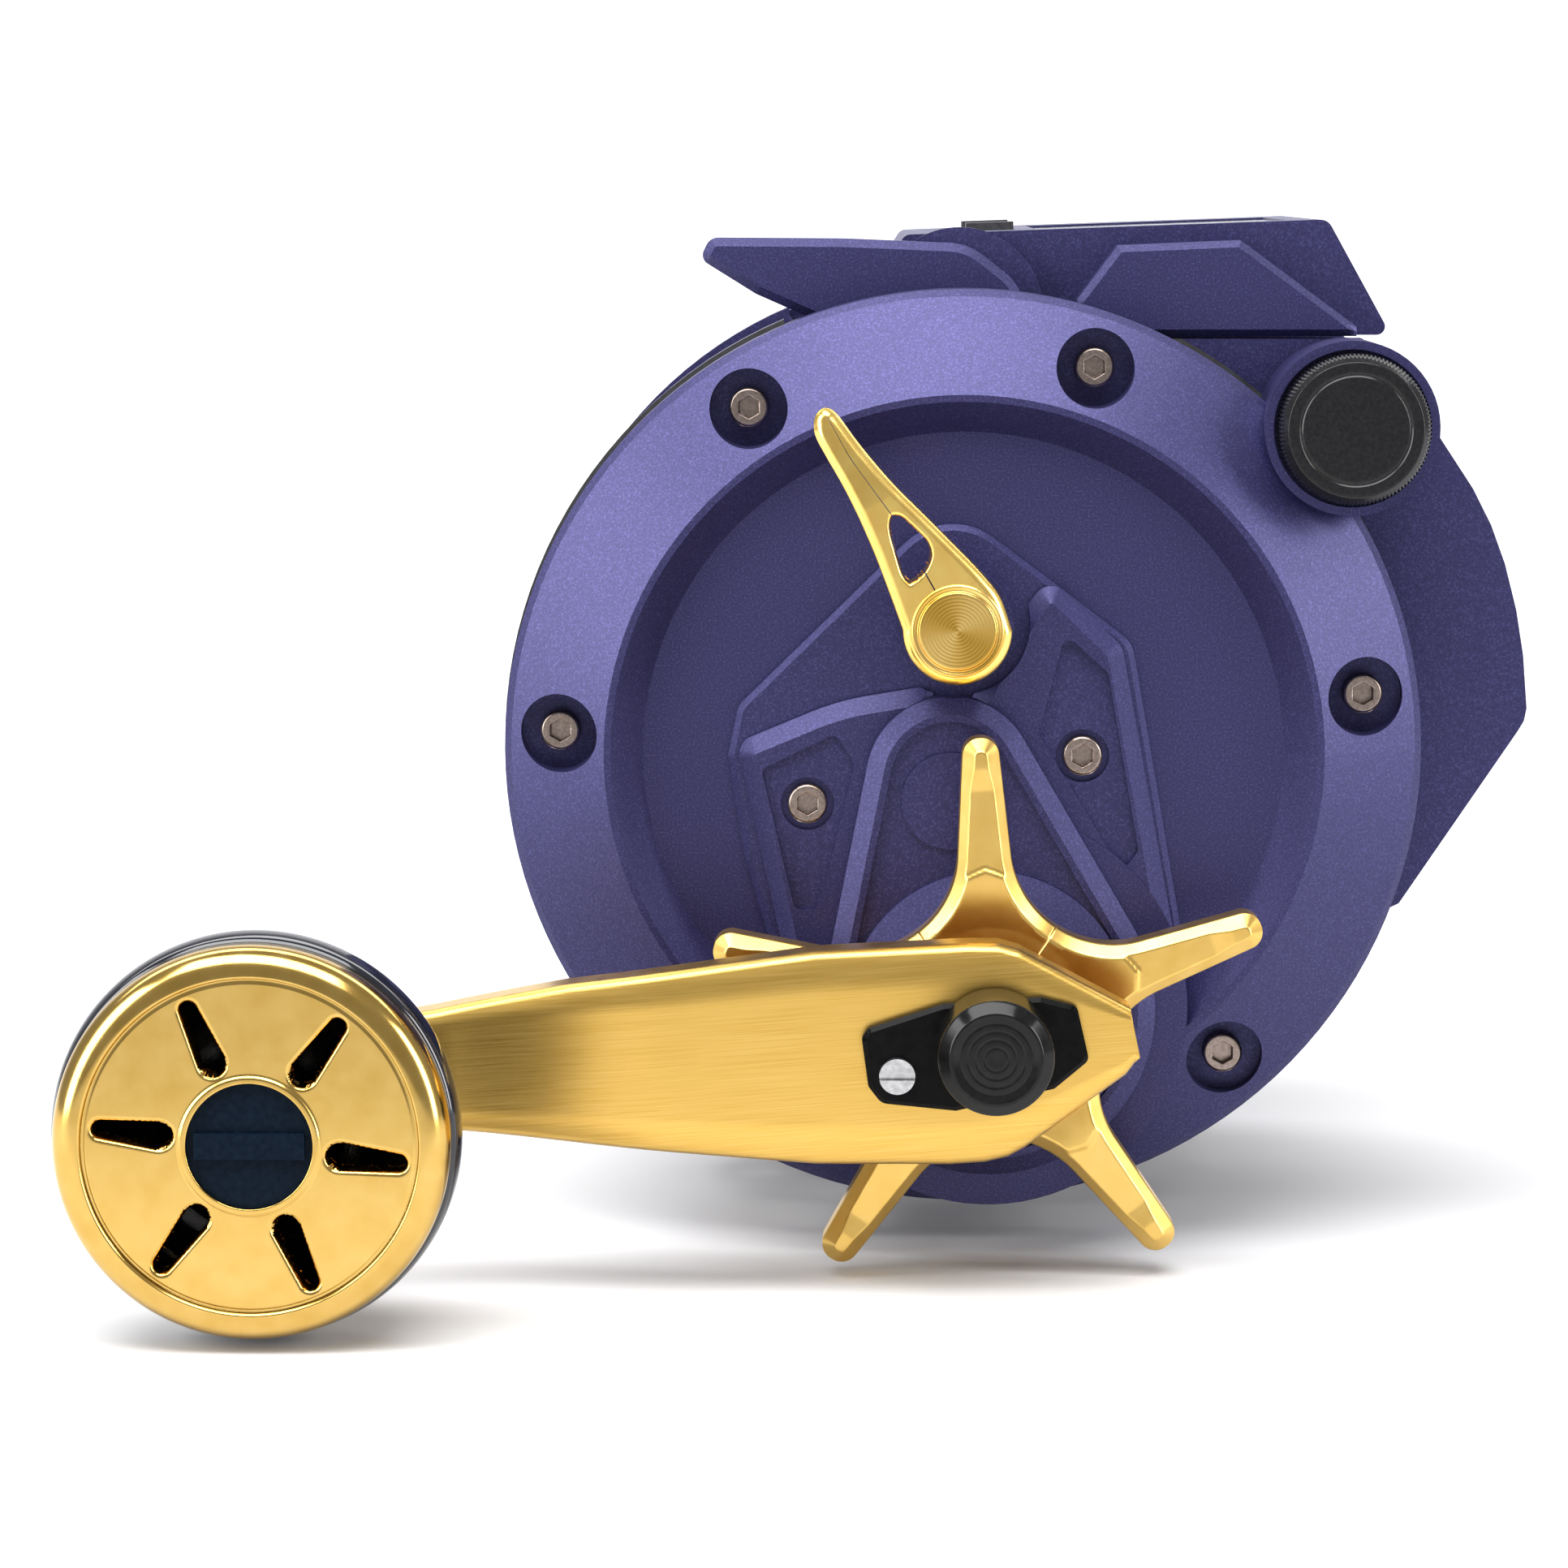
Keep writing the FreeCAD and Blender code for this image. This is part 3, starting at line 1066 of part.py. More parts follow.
def buildLevelWind():
    module = gearModule(distance(spoolAxis, guideAxis), *guideGearTeeth)
    heading = direction(spoolAxis, guideAxis)
    phase = 0.0
    place = 0.0
    phases = []
    centres = []
    for index in range(1, len(guideGearTeeth)):
        before = guideGearTeeth[index - 1]
        teeth = guideGearTeeth[index]
        phase = meshPhase(phase, before, teeth, heading)
        place += module * (before + teeth) / 2.0
        phases.append(phase)
        centres.append((float(spoolAxis[0]) + place * math.cos(heading),
                        float(spoolAxis[1]) + place * math.sin(heading)))
    studRadius = 2.0
    for index, name in enumerate(("inner_idler_gear", "outer_idler_gear")):
        wheel = gear(centres[index], guideGearTeeth[index + 1], module, phases[index], guideGearBack, guideGearFront,
                     studRadius + float(runningFit))
        shapeNode(name, wheel)
    studs = [rod(centre, studRadius, plateOuter, guideGearFront + 0.3) for centre in centres[:2]]
    studs.append(rod(reductionAxis(), reductionAxleRadius, -(mountDepth + 3.4), -plateOuter))
    shapeNode("gear_studs", Part.makeCompound(studs))
    worm = rod(guideAxis, wormRadius, -plateOuter, guideGearFront)
    pitch = 4.0
    turns = int((2 * float(plateInner) - 8) / pitch)
    for step in range(turns):
        depth = -float(plateInner) + 4 + pitch * step
        worm = worm.cut(revolved(guideAxis, [(wormRadius - 0.7, depth), (wormRadius + 1, depth),
                                             (wormRadius + 1, depth + 1.4), (wormRadius - 0.7, depth + 1.4)]))
    shapeNode("level_wind_worm", worm)
    wormGear = gear(guideAxis, guideGearTeeth[3], module, phases[2], guideGearBack, guideGearFront, wormRadius)
    shapeNode("worm_gear", wormGear)
    eye = (float(guideAxis[0]) + eyeForward, float(guideAxis[1]) - eyeDrop)
    rodAxis = (eye[0], eye[1] - 9.5)
    carriage = rod(guideAxis, wormRadius + 3, -6, 6)
    neck = Part.makeBox(6, 9, eyeDrop + 9, Vector(eye[0] - 3, -4.5, eye[1] - 9))
    link = Part.makeBox(eyeForward + 2, 9, 5, Vector(float(guideAxis[0]), -4.5, float(guideAxis[1]) - 6))
    frame = Part.makeCylinder(eyeRadius + 1.8, 6, Vector(eye[0] - 3, 0, eye[1]), Vector(1, 0, 0))
    carriage = carriage.fuse(neck).fuse(link).fuse(frame).fuse(rod(rodAxis, guideRodRadius + 2, -4.5, 4.5))
    carriage = carriage.cut(rod(guideAxis, wormRadius + runningFit, -10, 10))
    carriage = carriage.cut(rod(rodAxis, guideRodRadius + runningFit, -10, 10))
    bore = Part.makeCylinder(eyeRadius, 40, Vector(eye[0] - 20, 0, eye[1]), Vector(1, 0, 0))
    shapeNode("line_guide", carriage.cut(bore).removeSplitter())
    outer = Part.makeCylinder(eyeRadius, 6.6, Vector(eye[0] - 3.3, 0, eye[1]), Vector(1, 0, 0))
    inner = Part.makeCylinder(eyeRadius - 1.4, 8, Vector(eye[0] - 4, 0, eye[1]), Vector(1, 0, 0))
    shapeNode("guide_ring", outer.cut(inner))
    shapeNode("guide_rod", rod(rodAxis, guideRodRadius, -plateInner, plateInner))
    turned("level_wind_cap", guideAxis, [
        (0, guideGearFront + 1), (capStemRadius, guideGearFront + 1), (capStemRadius, capSeatDepth + 0.2),
        (capRadius - 0.3, capSeatDepth + 0.2), (capRadius, capSeatDepth + 0.5), (capRadius, capSeatDepth + 6.0),
        (capRadius - 0.9, capSeatDepth + 6.8), (0, capSeatDepth + 6.8)])


# Counter head and speed lever
windowLength = 30.0
windowRear = 9.0
buttonSide = 6.0
counterTopRear = 60.1
counterTopSlope = 0.036


def topHeight(x):
    return float(spoolHeight) + counterTopRear + counterTopSlope * (x - 6.7)


def slopedBlock(rear, front, halfWidth, below, above, across=0.0):
    """Block that follows the counter's sloping top; below and above are measured from that top."""
    corners = [(rear, topHeight(rear) + below), (front, topHeight(front) + below),
               (front, topHeight(front) + above), (rear, topHeight(rear) + above)]
    return prism(corners, across - halfWidth, across + halfWidth)


def buildCounter():
    floor = counterFloor + 0.3
    side = float(plateInner) - 1.0
    outline = about(spoolAxis, [(-12.9, 39.9, 0), (12.9, 39.9, 0), (12.9, floor, 0), (50.8, floor, 1),
                                (43.2, 61.4, 1.5), (6.7, counterTopRear, 2), (-6.7, 59.6, 1.2), (-12.9, 50, 2)])
    main = roundedPrism(outline, -float(plateOuter), side)
    shoulder = bevelled(about(spoolAxis, [(13.4, floor, 0), (46.3, floor, 0), (46.3, 48.9, 0), (32.6, 59, 0),
                                          (18.2, 58.4, 0), (13.4, 52, 0)]), side - 0.5, float(plateOuter) + 0.6, 0.8)
    shell = main.fuse(shoulder)
    shell = shell.cut(slopedBlock(-2, 40.5, side - 3, -9.5, -1.6))
    windowHalf = 19.0
    windowFront = windowRear + windowLength
    shell = shell.cut(slopedBlock(windowRear, windowFront, windowHalf, -2.5, 1.0))
    shell = shell.cut(slopedBlock(windowRear + 1.2, windowFront - 1.2, windowHalf - 1.2, -6, 1.0))
    for across in (-12.0, 12.0):
        shell = shell.cut(slopedBlock(0.6, 0.6 + buttonSide, buttonSide / 2, -4, 1.0, across))
    shell = shell.cut(rod(leverAxis, 3.0 + float(runningFit), side - 8, plateOuter))
    shapeNode("counter_housing", shell.removeSplitter())
    glass = slopedBlock(windowRear, windowFront, windowHalf, -1.6, -0.2)
    shapeNode("counter_window", glass)
    shapeNode("counter_board", slopedBlock(-1, 39.5, side - 4.5, -8, -6.2))
    for name, across in (("set_button", 12.0), ("mode_button", -12.0)):
        gap = 0.15
        cap = slopedBlock(0.6 + gap, 0.6 + buttonSide - gap, buttonSide / 2 - gap, -4.6, 0.95, across)
        shapeNode(name, cap)


def buildSpeedLever():
    side = float(plateInner) - 1.0
    back = side + 0.4
    front = float(plateOuter) - 0.3
    outline = about(leverAxis, [(-30.6, 6.2, 1.2), (-29.4, 8.7, 1.5), (-13.7, 8.6, 30), (1, 8.0, 7), (8.0, 2.5, 6),
                                (7, -5, 5), (0, -8.6, 6), (-9, -4.5, 4), (-24, 2.1, 2)])
    blade = bevelled(outline, back + 1.0, front, 1.0)
    blade = blade.fuse(rod(leverAxis, leverDiscRadius, back, back + 1.8))
    blade = blade.fuse(rod(leverAxis, 3.0, side - 3.8, back))
    shapeNode("speed_lever", blade.removeSplitter())


contactRadius = 0.9


def buildSocket():
    axis = socketAxis()
    top = float(leftDome) + 1.0
    base = float(leftRim) - 4.0
    collar = rod(axis, socketRadius, base, top)
    collar = collar.cut(rod(axis, socketRadius - 1.5, base + 2, top))
    for side in (-1, 1):
        pin = (float(axis[0]) + 2.2 * side, float(axis[1]))
        collar = collar.cut(rod(pin, contactRadius, base + 0.5, base + 2))
    shapeNode("power_socket", mirrored(collar))


def writeParts():
    for item in doc.Objects:
        if "Invalid" in item.State or "Error" in item.State:
            raise RuntimeError("%s did not build: %s" % (item.Name, item.State))
    for item in nodes:
        if item.Shape.isNull() or not item.Shape.isValid():
            raise RuntimeError("%s has no valid shape" % item.Label)
    os.makedirs("parts", exist_ok=True)
    for item in nodes:
        item.Shape.exportStep("parts/%s.step" % item.Label)
    print("wrote %d parts" % len(nodes))


buildFoot()
buildBridge()
footScrews()
buildFrame()
coverScrews = buildRightCover() + buildLeftCover()
shapeNode("side_cover_screws", Part.makeCompound(coverScrews))
buildGaskets()
buildGearCase()
buildSpool()
buildMotor()
buildDriveTrain()
buildClutch()
buildStar()
buildHandle()
buildKnob()
buildLevelWind()
buildCounter()
buildSpeedLever()
buildSocket()
doc.recompute()
writeParts()
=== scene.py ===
import json
import math
import bpy
import numpy as np
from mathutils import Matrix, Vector


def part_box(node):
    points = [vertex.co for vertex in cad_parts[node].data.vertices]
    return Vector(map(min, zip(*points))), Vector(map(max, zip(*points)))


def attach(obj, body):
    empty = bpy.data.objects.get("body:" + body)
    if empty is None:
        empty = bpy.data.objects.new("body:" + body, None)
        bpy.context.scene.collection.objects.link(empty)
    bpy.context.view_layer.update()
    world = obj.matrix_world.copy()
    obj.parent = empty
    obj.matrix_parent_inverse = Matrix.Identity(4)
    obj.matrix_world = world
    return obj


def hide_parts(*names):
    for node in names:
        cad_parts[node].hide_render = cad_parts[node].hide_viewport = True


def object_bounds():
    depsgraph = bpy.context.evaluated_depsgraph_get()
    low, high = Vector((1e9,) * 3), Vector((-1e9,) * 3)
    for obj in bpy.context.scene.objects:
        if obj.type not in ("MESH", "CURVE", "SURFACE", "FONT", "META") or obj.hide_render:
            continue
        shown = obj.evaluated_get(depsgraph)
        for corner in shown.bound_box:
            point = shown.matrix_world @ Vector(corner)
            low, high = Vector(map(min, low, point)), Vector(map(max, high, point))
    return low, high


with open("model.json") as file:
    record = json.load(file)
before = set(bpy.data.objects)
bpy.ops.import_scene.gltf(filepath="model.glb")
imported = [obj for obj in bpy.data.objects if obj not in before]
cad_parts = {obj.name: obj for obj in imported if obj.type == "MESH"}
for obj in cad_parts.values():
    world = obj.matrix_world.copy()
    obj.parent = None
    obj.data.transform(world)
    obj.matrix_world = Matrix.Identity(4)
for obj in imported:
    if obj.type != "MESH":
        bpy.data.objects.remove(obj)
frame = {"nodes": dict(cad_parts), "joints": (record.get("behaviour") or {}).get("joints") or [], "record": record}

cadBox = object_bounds()
nodes = frame["nodes"]
joints = {joint["name"]: joint for joint in frame["joints"]}
mm = 0.001

# axes of the turning pieces, read from the joints, as (x, z) in metres
def axisOf(jointName):
    place = joints[jointName]["pos_m"]
    return np.array([place[0], place[2]])


spoolAxis = axisOf("spool_turn")
crankAxis = axisOf("crank_turn")
knobAxis = axisOf("knob_spin")
clutchAxis = axisOf("clutch_lever_turn")
capAxis = axisOf("end_cap_turn")
armAngle = math.atan2(knobAxis[1] - crankAxis[1], knobAxis[0] - crankAxis[0])


def newMaterial(name):
    material = bpy.data.materials.new(name)
    material.use_nodes = True
    tree = material.node_tree
    shader = tree.nodes["Principled BSDF"]
    return material, tree, shader


def addNode(tree, kind, **settings):
    node = tree.nodes.new(kind)
    for key, value in settings.items():
        if key in node.inputs:
            node.inputs[key].default_value = value
        else:
            setattr(node, key, value)
    return node


def objectCoords(tree, scale=(1, 1, 1), turn=(0, 0, 0), place=(0, 0, 0)):
    coords = addNode(tree, "ShaderNodeTexCoord")
    mapping = addNode(tree, "ShaderNodeMapping")
    mapping.inputs["Scale"].default_value = scale
    mapping.inputs["Rotation"].default_value = turn
    mapping.inputs["Location"].default_value = place
    tree.links.new(coords.outputs["Object"], mapping.inputs["Vector"])
    return mapping.outputs["Vector"]


def noiseOn(tree, vector, scale, detail=3.0, rough=0.5):
    node = addNode(tree, "ShaderNodeTexNoise")
    node.inputs["Scale"].default_value = scale
    node.inputs["Detail"].default_value = detail
    node.inputs["Roughness"].default_value = rough
    tree.links.new(vector, node.inputs["Vector"])
    return node.outputs["Fac"]


def ramp(tree, fac, stops):
    node = addNode(tree, "ShaderNodeValToRGB")
    elements = node.color_ramp.elements
    while len(elements) < len(stops):
        elements.new(0.5)
    for element, (position, colour) in zip(elements, stops):
        element.position = position
        element.color = (*colour, 1.0) if len(colour) == 3 else colour
    tree.links.new(fac, node.inputs["Fac"])
    return node.outputs["Color"]


def bump(tree, shader, height, strength, distance):
    node = addNode(tree, "ShaderNodeBump")
    node.inputs["Strength"].default_value = strength
    node.inputs["Distance"].default_value = distance
    tree.links.new(height, node.inputs["Height"])
    tree.links.new(node.outputs["Normal"], shader.inputs["Normal"])


def roughnessFrom(tree, shader, fac, low, high):
    node = addNode(tree, "ShaderNodeMapRange")
    node.inputs["To Min"].default_value = low
    node.inputs["To Max"].default_value = high
    tree.links.new(fac, node.inputs["Value"])
    tree.links.new(node.outputs["Result"], shader.inputs["Roughness"])


paint = {"colour": (0.031, 0.028, 0.103), "dark": (0.023, 0.021, 0.080), "flake": (0.052, 0.048, 0.150),
         "flakeScale": 4200.0, "roughness": (0.40, 0.48), "metallic": 0.6, "coat": 0.1, "coatRoughness": 0.38}


def paintMaterial():
    material, tree, shader = newMaterial("violetPaint")
    shader.inputs["Metallic"].default_value = paint["metallic"]
    shader.inputs["Coat Weight"].default_value = paint["coat"]
    shader.inputs["Coat Roughness"].default_value = paint["coatRoughness"]
    vector = objectCoords(tree)
    flake = noiseOn(tree, vector, paint["flakeScale"], 1.0)  # fine metal flake, about 0.2 mm
    cloud = noiseOn(tree, vector, 55.0, 2.0)
    colour = ramp(tree, flake, [(0.36, paint["dark"]), (0.55, paint["colour"]), (0.72, paint["flake"])])
    tree.links.new(colour, shader.inputs["Base Color"])
    roughnessFrom(tree, shader, cloud, *paint["roughness"])
    bump(tree, shader, flake, 0.05, 0.00002)
    return material


gold = {"deep": (0.54, 0.32, 0.055), "main": (0.68, 0.43, 0.105), "light": (0.79, 0.54, 0.17)}


def goldMaterial(name, roughness, brushing=None, paintedLightTone=1.0):
    # brushing is the direction (radians) of straight brush lines; the tone scales the gold's colour, making a copy
    # with painted light (lighter) or painted shade (darker)
    material, tree, shader = newMaterial(name)
    shader.inputs["Metallic"].default_value = 1.0
    deep, main, light = [tuple(min(share * paintedLightTone, 1.0) for share in gold[key])
                         for key in ("deep", "main", "light")]
    if brushing is not None:
        vector = objectCoords(tree, turn=(0, brushing, 0))
        stretch = addNode(tree, "ShaderNodeMapping")
        stretch.inputs["Scale"].default_value = (70, 500, 7500)  # long along the arm, fine across it
        tree.links.new(vector, stretch.inputs["Vector"])
        fine = noiseOn(tree, stretch.outputs["Vector"], 1.0, 4.0, 0.65)
        colour = ramp(tree, fine, [(0.2, deep), (0.5, main), (0.85, light)])
        bump(tree, shader, fine, 0.12, 0.00001)
    else:
        vector = objectCoords(tree)
        fine = noiseOn(tree, vector, 350.0, 3.0)
        colour = ramp(tree, fine, [(0.25, main), (0.9, light)])
        bump(tree, shader, fine, 0.02, 0.000004)
    tree.links.new(colour, shader.inputs["Base Color"])
    roughnessFrom(tree, shader, fine, roughness[0], roughness[1])
    return material


def spunMaterial(name, centre):
    # a turned face: painted reflections in the colour fan out from the centre, and fine rings follow the radius
    material, tree, shader = newMaterial(name)
    shader.inputs["Metallic"].default_value = 1.0
    shader.inputs["Roughness"].default_value = 0.26
    place = addNode(tree, "ShaderNodeSeparateXYZ")
    tree.links.new(objectCoords(tree, place=(-centre[0], 0, -centre[1])), place.inputs[0])
    angle = addNode(tree, "ShaderNodeMath", operation="ARCTAN2")
    tree.links.new(place.outputs["Z"], angle.inputs[0])
    tree.links.new(place.outputs["X"], angle.inputs[1])
    folded = addNode(tree, "ShaderNodeMath", operation="MULTIPLY")
    tree.links.new(angle.outputs[0], folded.inputs[0])
    folded.inputs[1].default_value = 2.0
    paintedReflectionFan = addNode(tree, "ShaderNodeMath", operation="SINE")
    tree.links.new(folded.outputs[0], paintedReflectionFan.inputs[0])
    spread = addNode(tree, "ShaderNodeMapRange")
    spread.inputs["From Min"].default_value = -1.0
    tree.links.new(paintedReflectionFan.outputs[0], spread.inputs["Value"])
    # the colour ramp paints the fanned reflection: deep to light gold by angle round the centre
    colour = ramp(tree, spread.outputs["Result"],
                  [(0.05, gold["deep"]), (0.5, gold["main"]), (0.95, gold["light"])])
    tree.links.new(colour, shader.inputs["Base Color"])
    radius = addNode(tree, "ShaderNodeVectorMath", operation="LENGTH")
    flat = addNode(tree, "ShaderNodeCombineXYZ")
    tree.links.new(place.outputs["X"], flat.inputs["X"])
    tree.links.new(place.outputs["Z"], flat.inputs["Z"])
    tree.links.new(flat.outputs[0], radius.inputs[0])
    pitch = addNode(tree, "ShaderNodeMath", operation="MULTIPLY")
    tree.links.new(radius.outputs["Value"], pitch.inputs[0])
    pitch.inputs[1].default_value = 16000.0
    wave = addNode(tree, "ShaderNodeMath", operation="SINE")
    tree.links.new(pitch.outputs[0], wave.inputs[0])
    bump(tree, shader, wave.outputs[0], 0.25, 0.00001)
    return material


def plainMaterial(name, dark, light, roughness, metallic=0.0, scale=700.0, depth=0.00003,
                  coat=0.0, shine=0.5):
    # two close tones mixed by a fine noise, with the roughness and a slight bump following it
    material, tree, shader = newMaterial(name)
    shader.inputs["Metallic"].default_value = metallic
    shader.inputs["Coat Weight"].default_value = coat
    shader.inputs["Coat Roughness"].default_value = 0.06
    shader.inputs["Specular IOR Level"].default_value = shine
    fine = noiseOn(tree, objectCoords(tree), scale, 3.0)
    colour = ramp(tree, fine, [(0.35, dark), (0.7, light)])
    tree.links.new(colour, shader.inputs["Base Color"])
    roughnessFrom(tree, shader, fine, roughness[0], roughness[1])
    bump(tree, shader, fine, 0.12, depth)
    return material


violetPaint = paintMaterial()
brushedGold = goldMaterial("brushedGold", (0.24, 0.40), brushing=armAngle)
satinGold = goldMaterial("satinGold", (0.26, 0.34))
# the clutch lever's gold is painted lighter: a painted-light copy of the same gold
litLeverGold = goldMaterial("litLeverGold", (0.20, 0.28), paintedLightTone=1.42)
spunGold = spunMaterial("spunGold", clutchAxis)
# the knob cap's gold is painted darker: a painted-shade copy of the same gold, to hold back its bright reflection
shadedPolishedGold = goldMaterial("shadedPolishedGold", (0.12, 0.18), paintedLightTone=0.80)
blackGloss = plainMaterial("blackGloss", (0.004, 0.004, 0.004), (0.007, 0.007, 0.007),
                           (0.10, 0.18), 0.0, 900.0, 0.00001, shine=0.2)
blackAnodised = plainMaterial("blackAnodised", (0.006, 0.006, 0.007), (0.010, 0.010, 0.011),
                              (0.16, 0.22), 0.0, 2400.0, 0.000006, shine=0.3)
retainerBlack = plainMaterial("retainerBlack", (0.002, 0.002, 0.002), (0.004, 0.004, 0.004),
                              (0.16, 0.24), 0.0, 900.0, 0.00001, shine=0.06)
gripBlack = plainMaterial("gripBlack", (0.005, 0.006, 0.010), (0.009, 0.010, 0.015),
                          (0.07, 0.12), 0.0, 300.0, 0.000004, 0.2)
plugBlue = plainMaterial("plugBlue", (0.001, 0.004, 0.010), (0.003, 0.008, 0.016),
                         (0.30, 0.40), 0.0, 1400.0, 0.00001, shine=0.06)
bronzeSteel = plainMaterial("bronzeSteel", (0.23, 0.18, 0.155), (0.33, 0.27, 0.24),
                            (0.26, 0.36), 1.0, 2600.0, 0.00001)
machinedSteel = plainMaterial("machinedSteel", (0.42, 0.42, 0.43), (0.62, 0.62, 0.63),
                              (0.20, 0.34), 1.0, 1400.0)
gearBrass = plainMaterial("gearBrass", (0.42, 0.29, 0.11), (0.60, 0.43, 0.19), (0.24, 0.36), 1.0, 1200.0)
spoolGold = plainMaterial("spoolGold", (0.48, 0.33, 0.10), (0.62, 0.44, 0.16), (0.16, 0.26), 1.0, 1200.0)
frameGrey = plainMaterial("frameGrey", (0.070, 0.068, 0.120), (0.105, 0.100, 0.170),
                          (0.34, 0.44), 0.8, 2400.0)
carbonFibre = plainMaterial("carbonFibre", (0.020, 0.020, 0.022), (0.050, 0.050, 0.055),
                            (0.42, 0.55), 0.0, 1600.0)
sealRubber = plainMaterial("sealRubber", (0.012, 0.012, 0.012), (0.024, 0.024, 0.024),
                           (0.60, 0.75), 0.0, 1100.0)
keyBlack = plainMaterial("keyBlack", (0.016, 0.016, 0.018), (0.030, 0.030, 0.033), (0.42, 0.52), 0.0, 1800.0)
whiteCeramic = plainMaterial("whiteCeramic", (0.62, 0.65, 0.70), (0.74, 0.77, 0.82), (0.05, 0.10), 0.0, 300.0)
boardGreen = plainMaterial("boardGreen", (0.012, 0.070, 0.030), (0.030, 0.120, 0.055),
                           (0.35, 0.5), 0.0, 1500.0)


def glassMaterial():
    material, tree, shader = newMaterial("smokedGlass")
    shader.inputs["Transmission Weight"].default_value = 0.25
    shader.inputs["IOR"].default_value = 1.49
    vector = objectCoords(tree)
    streak = noiseOn(tree, vector, 60.0, 2.0)
    colour = ramp(tree, streak, [(0.3, (0.055, 0.065, 0.062)), (0.7, (0.095, 0.110, 0.104))])
    tree.links.new(colour, shader.inputs["Base Color"])
    roughnessFrom(tree, shader, streak, 0.03, 0.08)
    return material


smokedGlass = glassMaterial()
slotFinish = {"painted_body": violetPaint, "frame_metal": frameGrey, "gold": satinGold,
              "spool_metal": spoolGold, "black_metal": blackGloss, "grip": gripBlack, "plug": plugBlue,
              "screw_steel": bronzeSteel,
              "steel": machinedSteel, "gear_brass": gearBrass, "drag_fibre": carbonFibre,
              "seal_rubber": sealRubber, "key_plastic": keyBlack, "carriage_metal": blackAnodised,
              "ceramic": whiteCeramic, "display_glass": smokedGlass, "board": boardGreen}
nodeFinish = {"handle_arm": brushedGold, "knob_cap": shadedPolishedGold, "level_wind_cap": blackAnodised,
              "retainer_screw": machinedSteel, "nut_retainer": retainerBlack}


def dress(piece, material):
    piece.data.materials.clear()
    piece.data.materials.append(material)


for part in frame["record"]["subparts"]:
    piece = nodes[part["node"]]
    dress(piece, nodeFinish.get(part["node"], slotFinish[part["material_slot"]]))
print("finishes on", len(nodes), "nodes")


# the floor's shaded colour is painted shade, put in front of the reel to darken its reflections
studio = {"floorDrop": 0.0005, "halfWidth": 3.0, "backDepth": 2.6, "backRise": 3.0, "bend": 1.2,
          "pale": (0.62, 0.62, 0.63), "shaded": (0.40, 0.40, 0.40), "fade": (-0.27, -0.185), "world": 0.42}
# each softbox: place, target, width and height in metres, then watts
softboxes = {"topSoftbox": ((-0.1, -0.45, 0.95), (0, 0, 0.05), (1.1, 0.6), 19),
             "leftSoftbox": ((-0.95, -0.50, 0.40), (0, 0, 0.05), (0.5, 0.9), 13),
             "rightSoftbox": ((1.05, -0.45, 0.35), (0, 0, 0.05), (0.35, 0.8), 10),
             "backLight": ((0, 1.0, 1.8), (0, 2.2, 0.2), (4.0, 1.2), 90)}


def buildFloor():
    # a level floor that turns up into a wall behind: a straight run, a quarter circle, then a straight rise
    low = cadBox[0][2] - studio["floorDrop"]
    bend = studio["bend"]
    turn = np.linspace(0, math.pi / 2, 24)
    runY = np.concatenate([np.linspace(-3.0, studio["backDepth"] - bend, 10)[:-1],
                           studio["backDepth"] - bend + bend * np.sin(turn), [studio["backDepth"]]])
    runZ = np.concatenate([np.zeros(9), bend - bend * np.cos(turn), [studio["backRise"]]]) + low
    across = np.array([-studio["halfWidth"], studio["halfWidth"]])
    grid = np.stack([np.repeat(across[:, None], len(runY), 1), np.repeat(runY[None], 2, 0),
                     np.repeat(runZ[None], 2, 0)], -1)
    mesh = bpy.data.meshes.new("floor")
    count = len(runY)
    first = np.arange(count - 1)
    faces = np.stack([first, first + count, first + count + 1, first + 1], 1)
    mesh.from_pydata(grid.reshape(-1, 3).tolist(), [], faces.tolist())
    mesh.polygons.foreach_set("use_smooth", np.ones(len(faces), dtype=bool))
    floor = bpy.data.objects.new("floor", mesh)
    bpy.context.scene.collection.objects.link(floor)
    material, tree, shader = newMaterial("paleFloorWithPaintedShade")
    shader.inputs["Roughness"].default_value = 0.9
    shader.inputs["Specular IOR Level"].default_value = 0.0
    # pale under the reel, falling off to grey in front of it: painted shade on the floor, so the flat faces
    # reflect a dimmer front and keep their depth
    reach = addNode(tree, "ShaderNodeSeparateXYZ")
    tree.links.new(objectCoords(tree), reach.inputs[0])
    fade = addNode(tree, "ShaderNodeMapRange")
    fade.inputs["From Min"].default_value, fade.inputs["From Max"].default_value = studio["fade"]
    tree.links.new(reach.outputs["Y"], fade.inputs["Value"])
    colour = ramp(tree, fade.outputs["Result"], [(0.0, studio["shaded"]), (1.0, studio["pale"])])
    tree.links.new(colour, shader.inputs["Base Color"])
    dress(floor, material)


def addSoftbox(name, place, target, size, power):
    data = bpy.data.lights.new(name, "AREA")
    data.shape = "RECTANGLE"
    data.size, data.size_y = size
    data.energy = power
    lamp = bpy.data.objects.new(name, data)
    lamp.location = place
    lamp.rotation_euler = (Vector(target) - Vector(place)).to_track_quat("-Z", "Y").to_euler()
    bpy.context.scene.collection.objects.link(lamp)


def buildLight():
    world = bpy.data.worlds.new("studio")
    world.use_nodes = True
    world.node_tree.nodes["Background"].inputs["Color"].default_value = (1, 1, 1, 1)
    world.node_tree.nodes["Background"].inputs["Strength"].default_value = studio["world"]
    bpy.context.scene.world = world
    bpy.context.scene.view_settings.view_transform = "Standard"
    for name, settings in softboxes.items():
        addSoftbox(name, *settings)


view = {"place": (-0.013264, -0.662627, 0.112633), "elevation": 6.5, "azimuth": 0.7, "lens": 122.77,
        "sensor": 36.0}


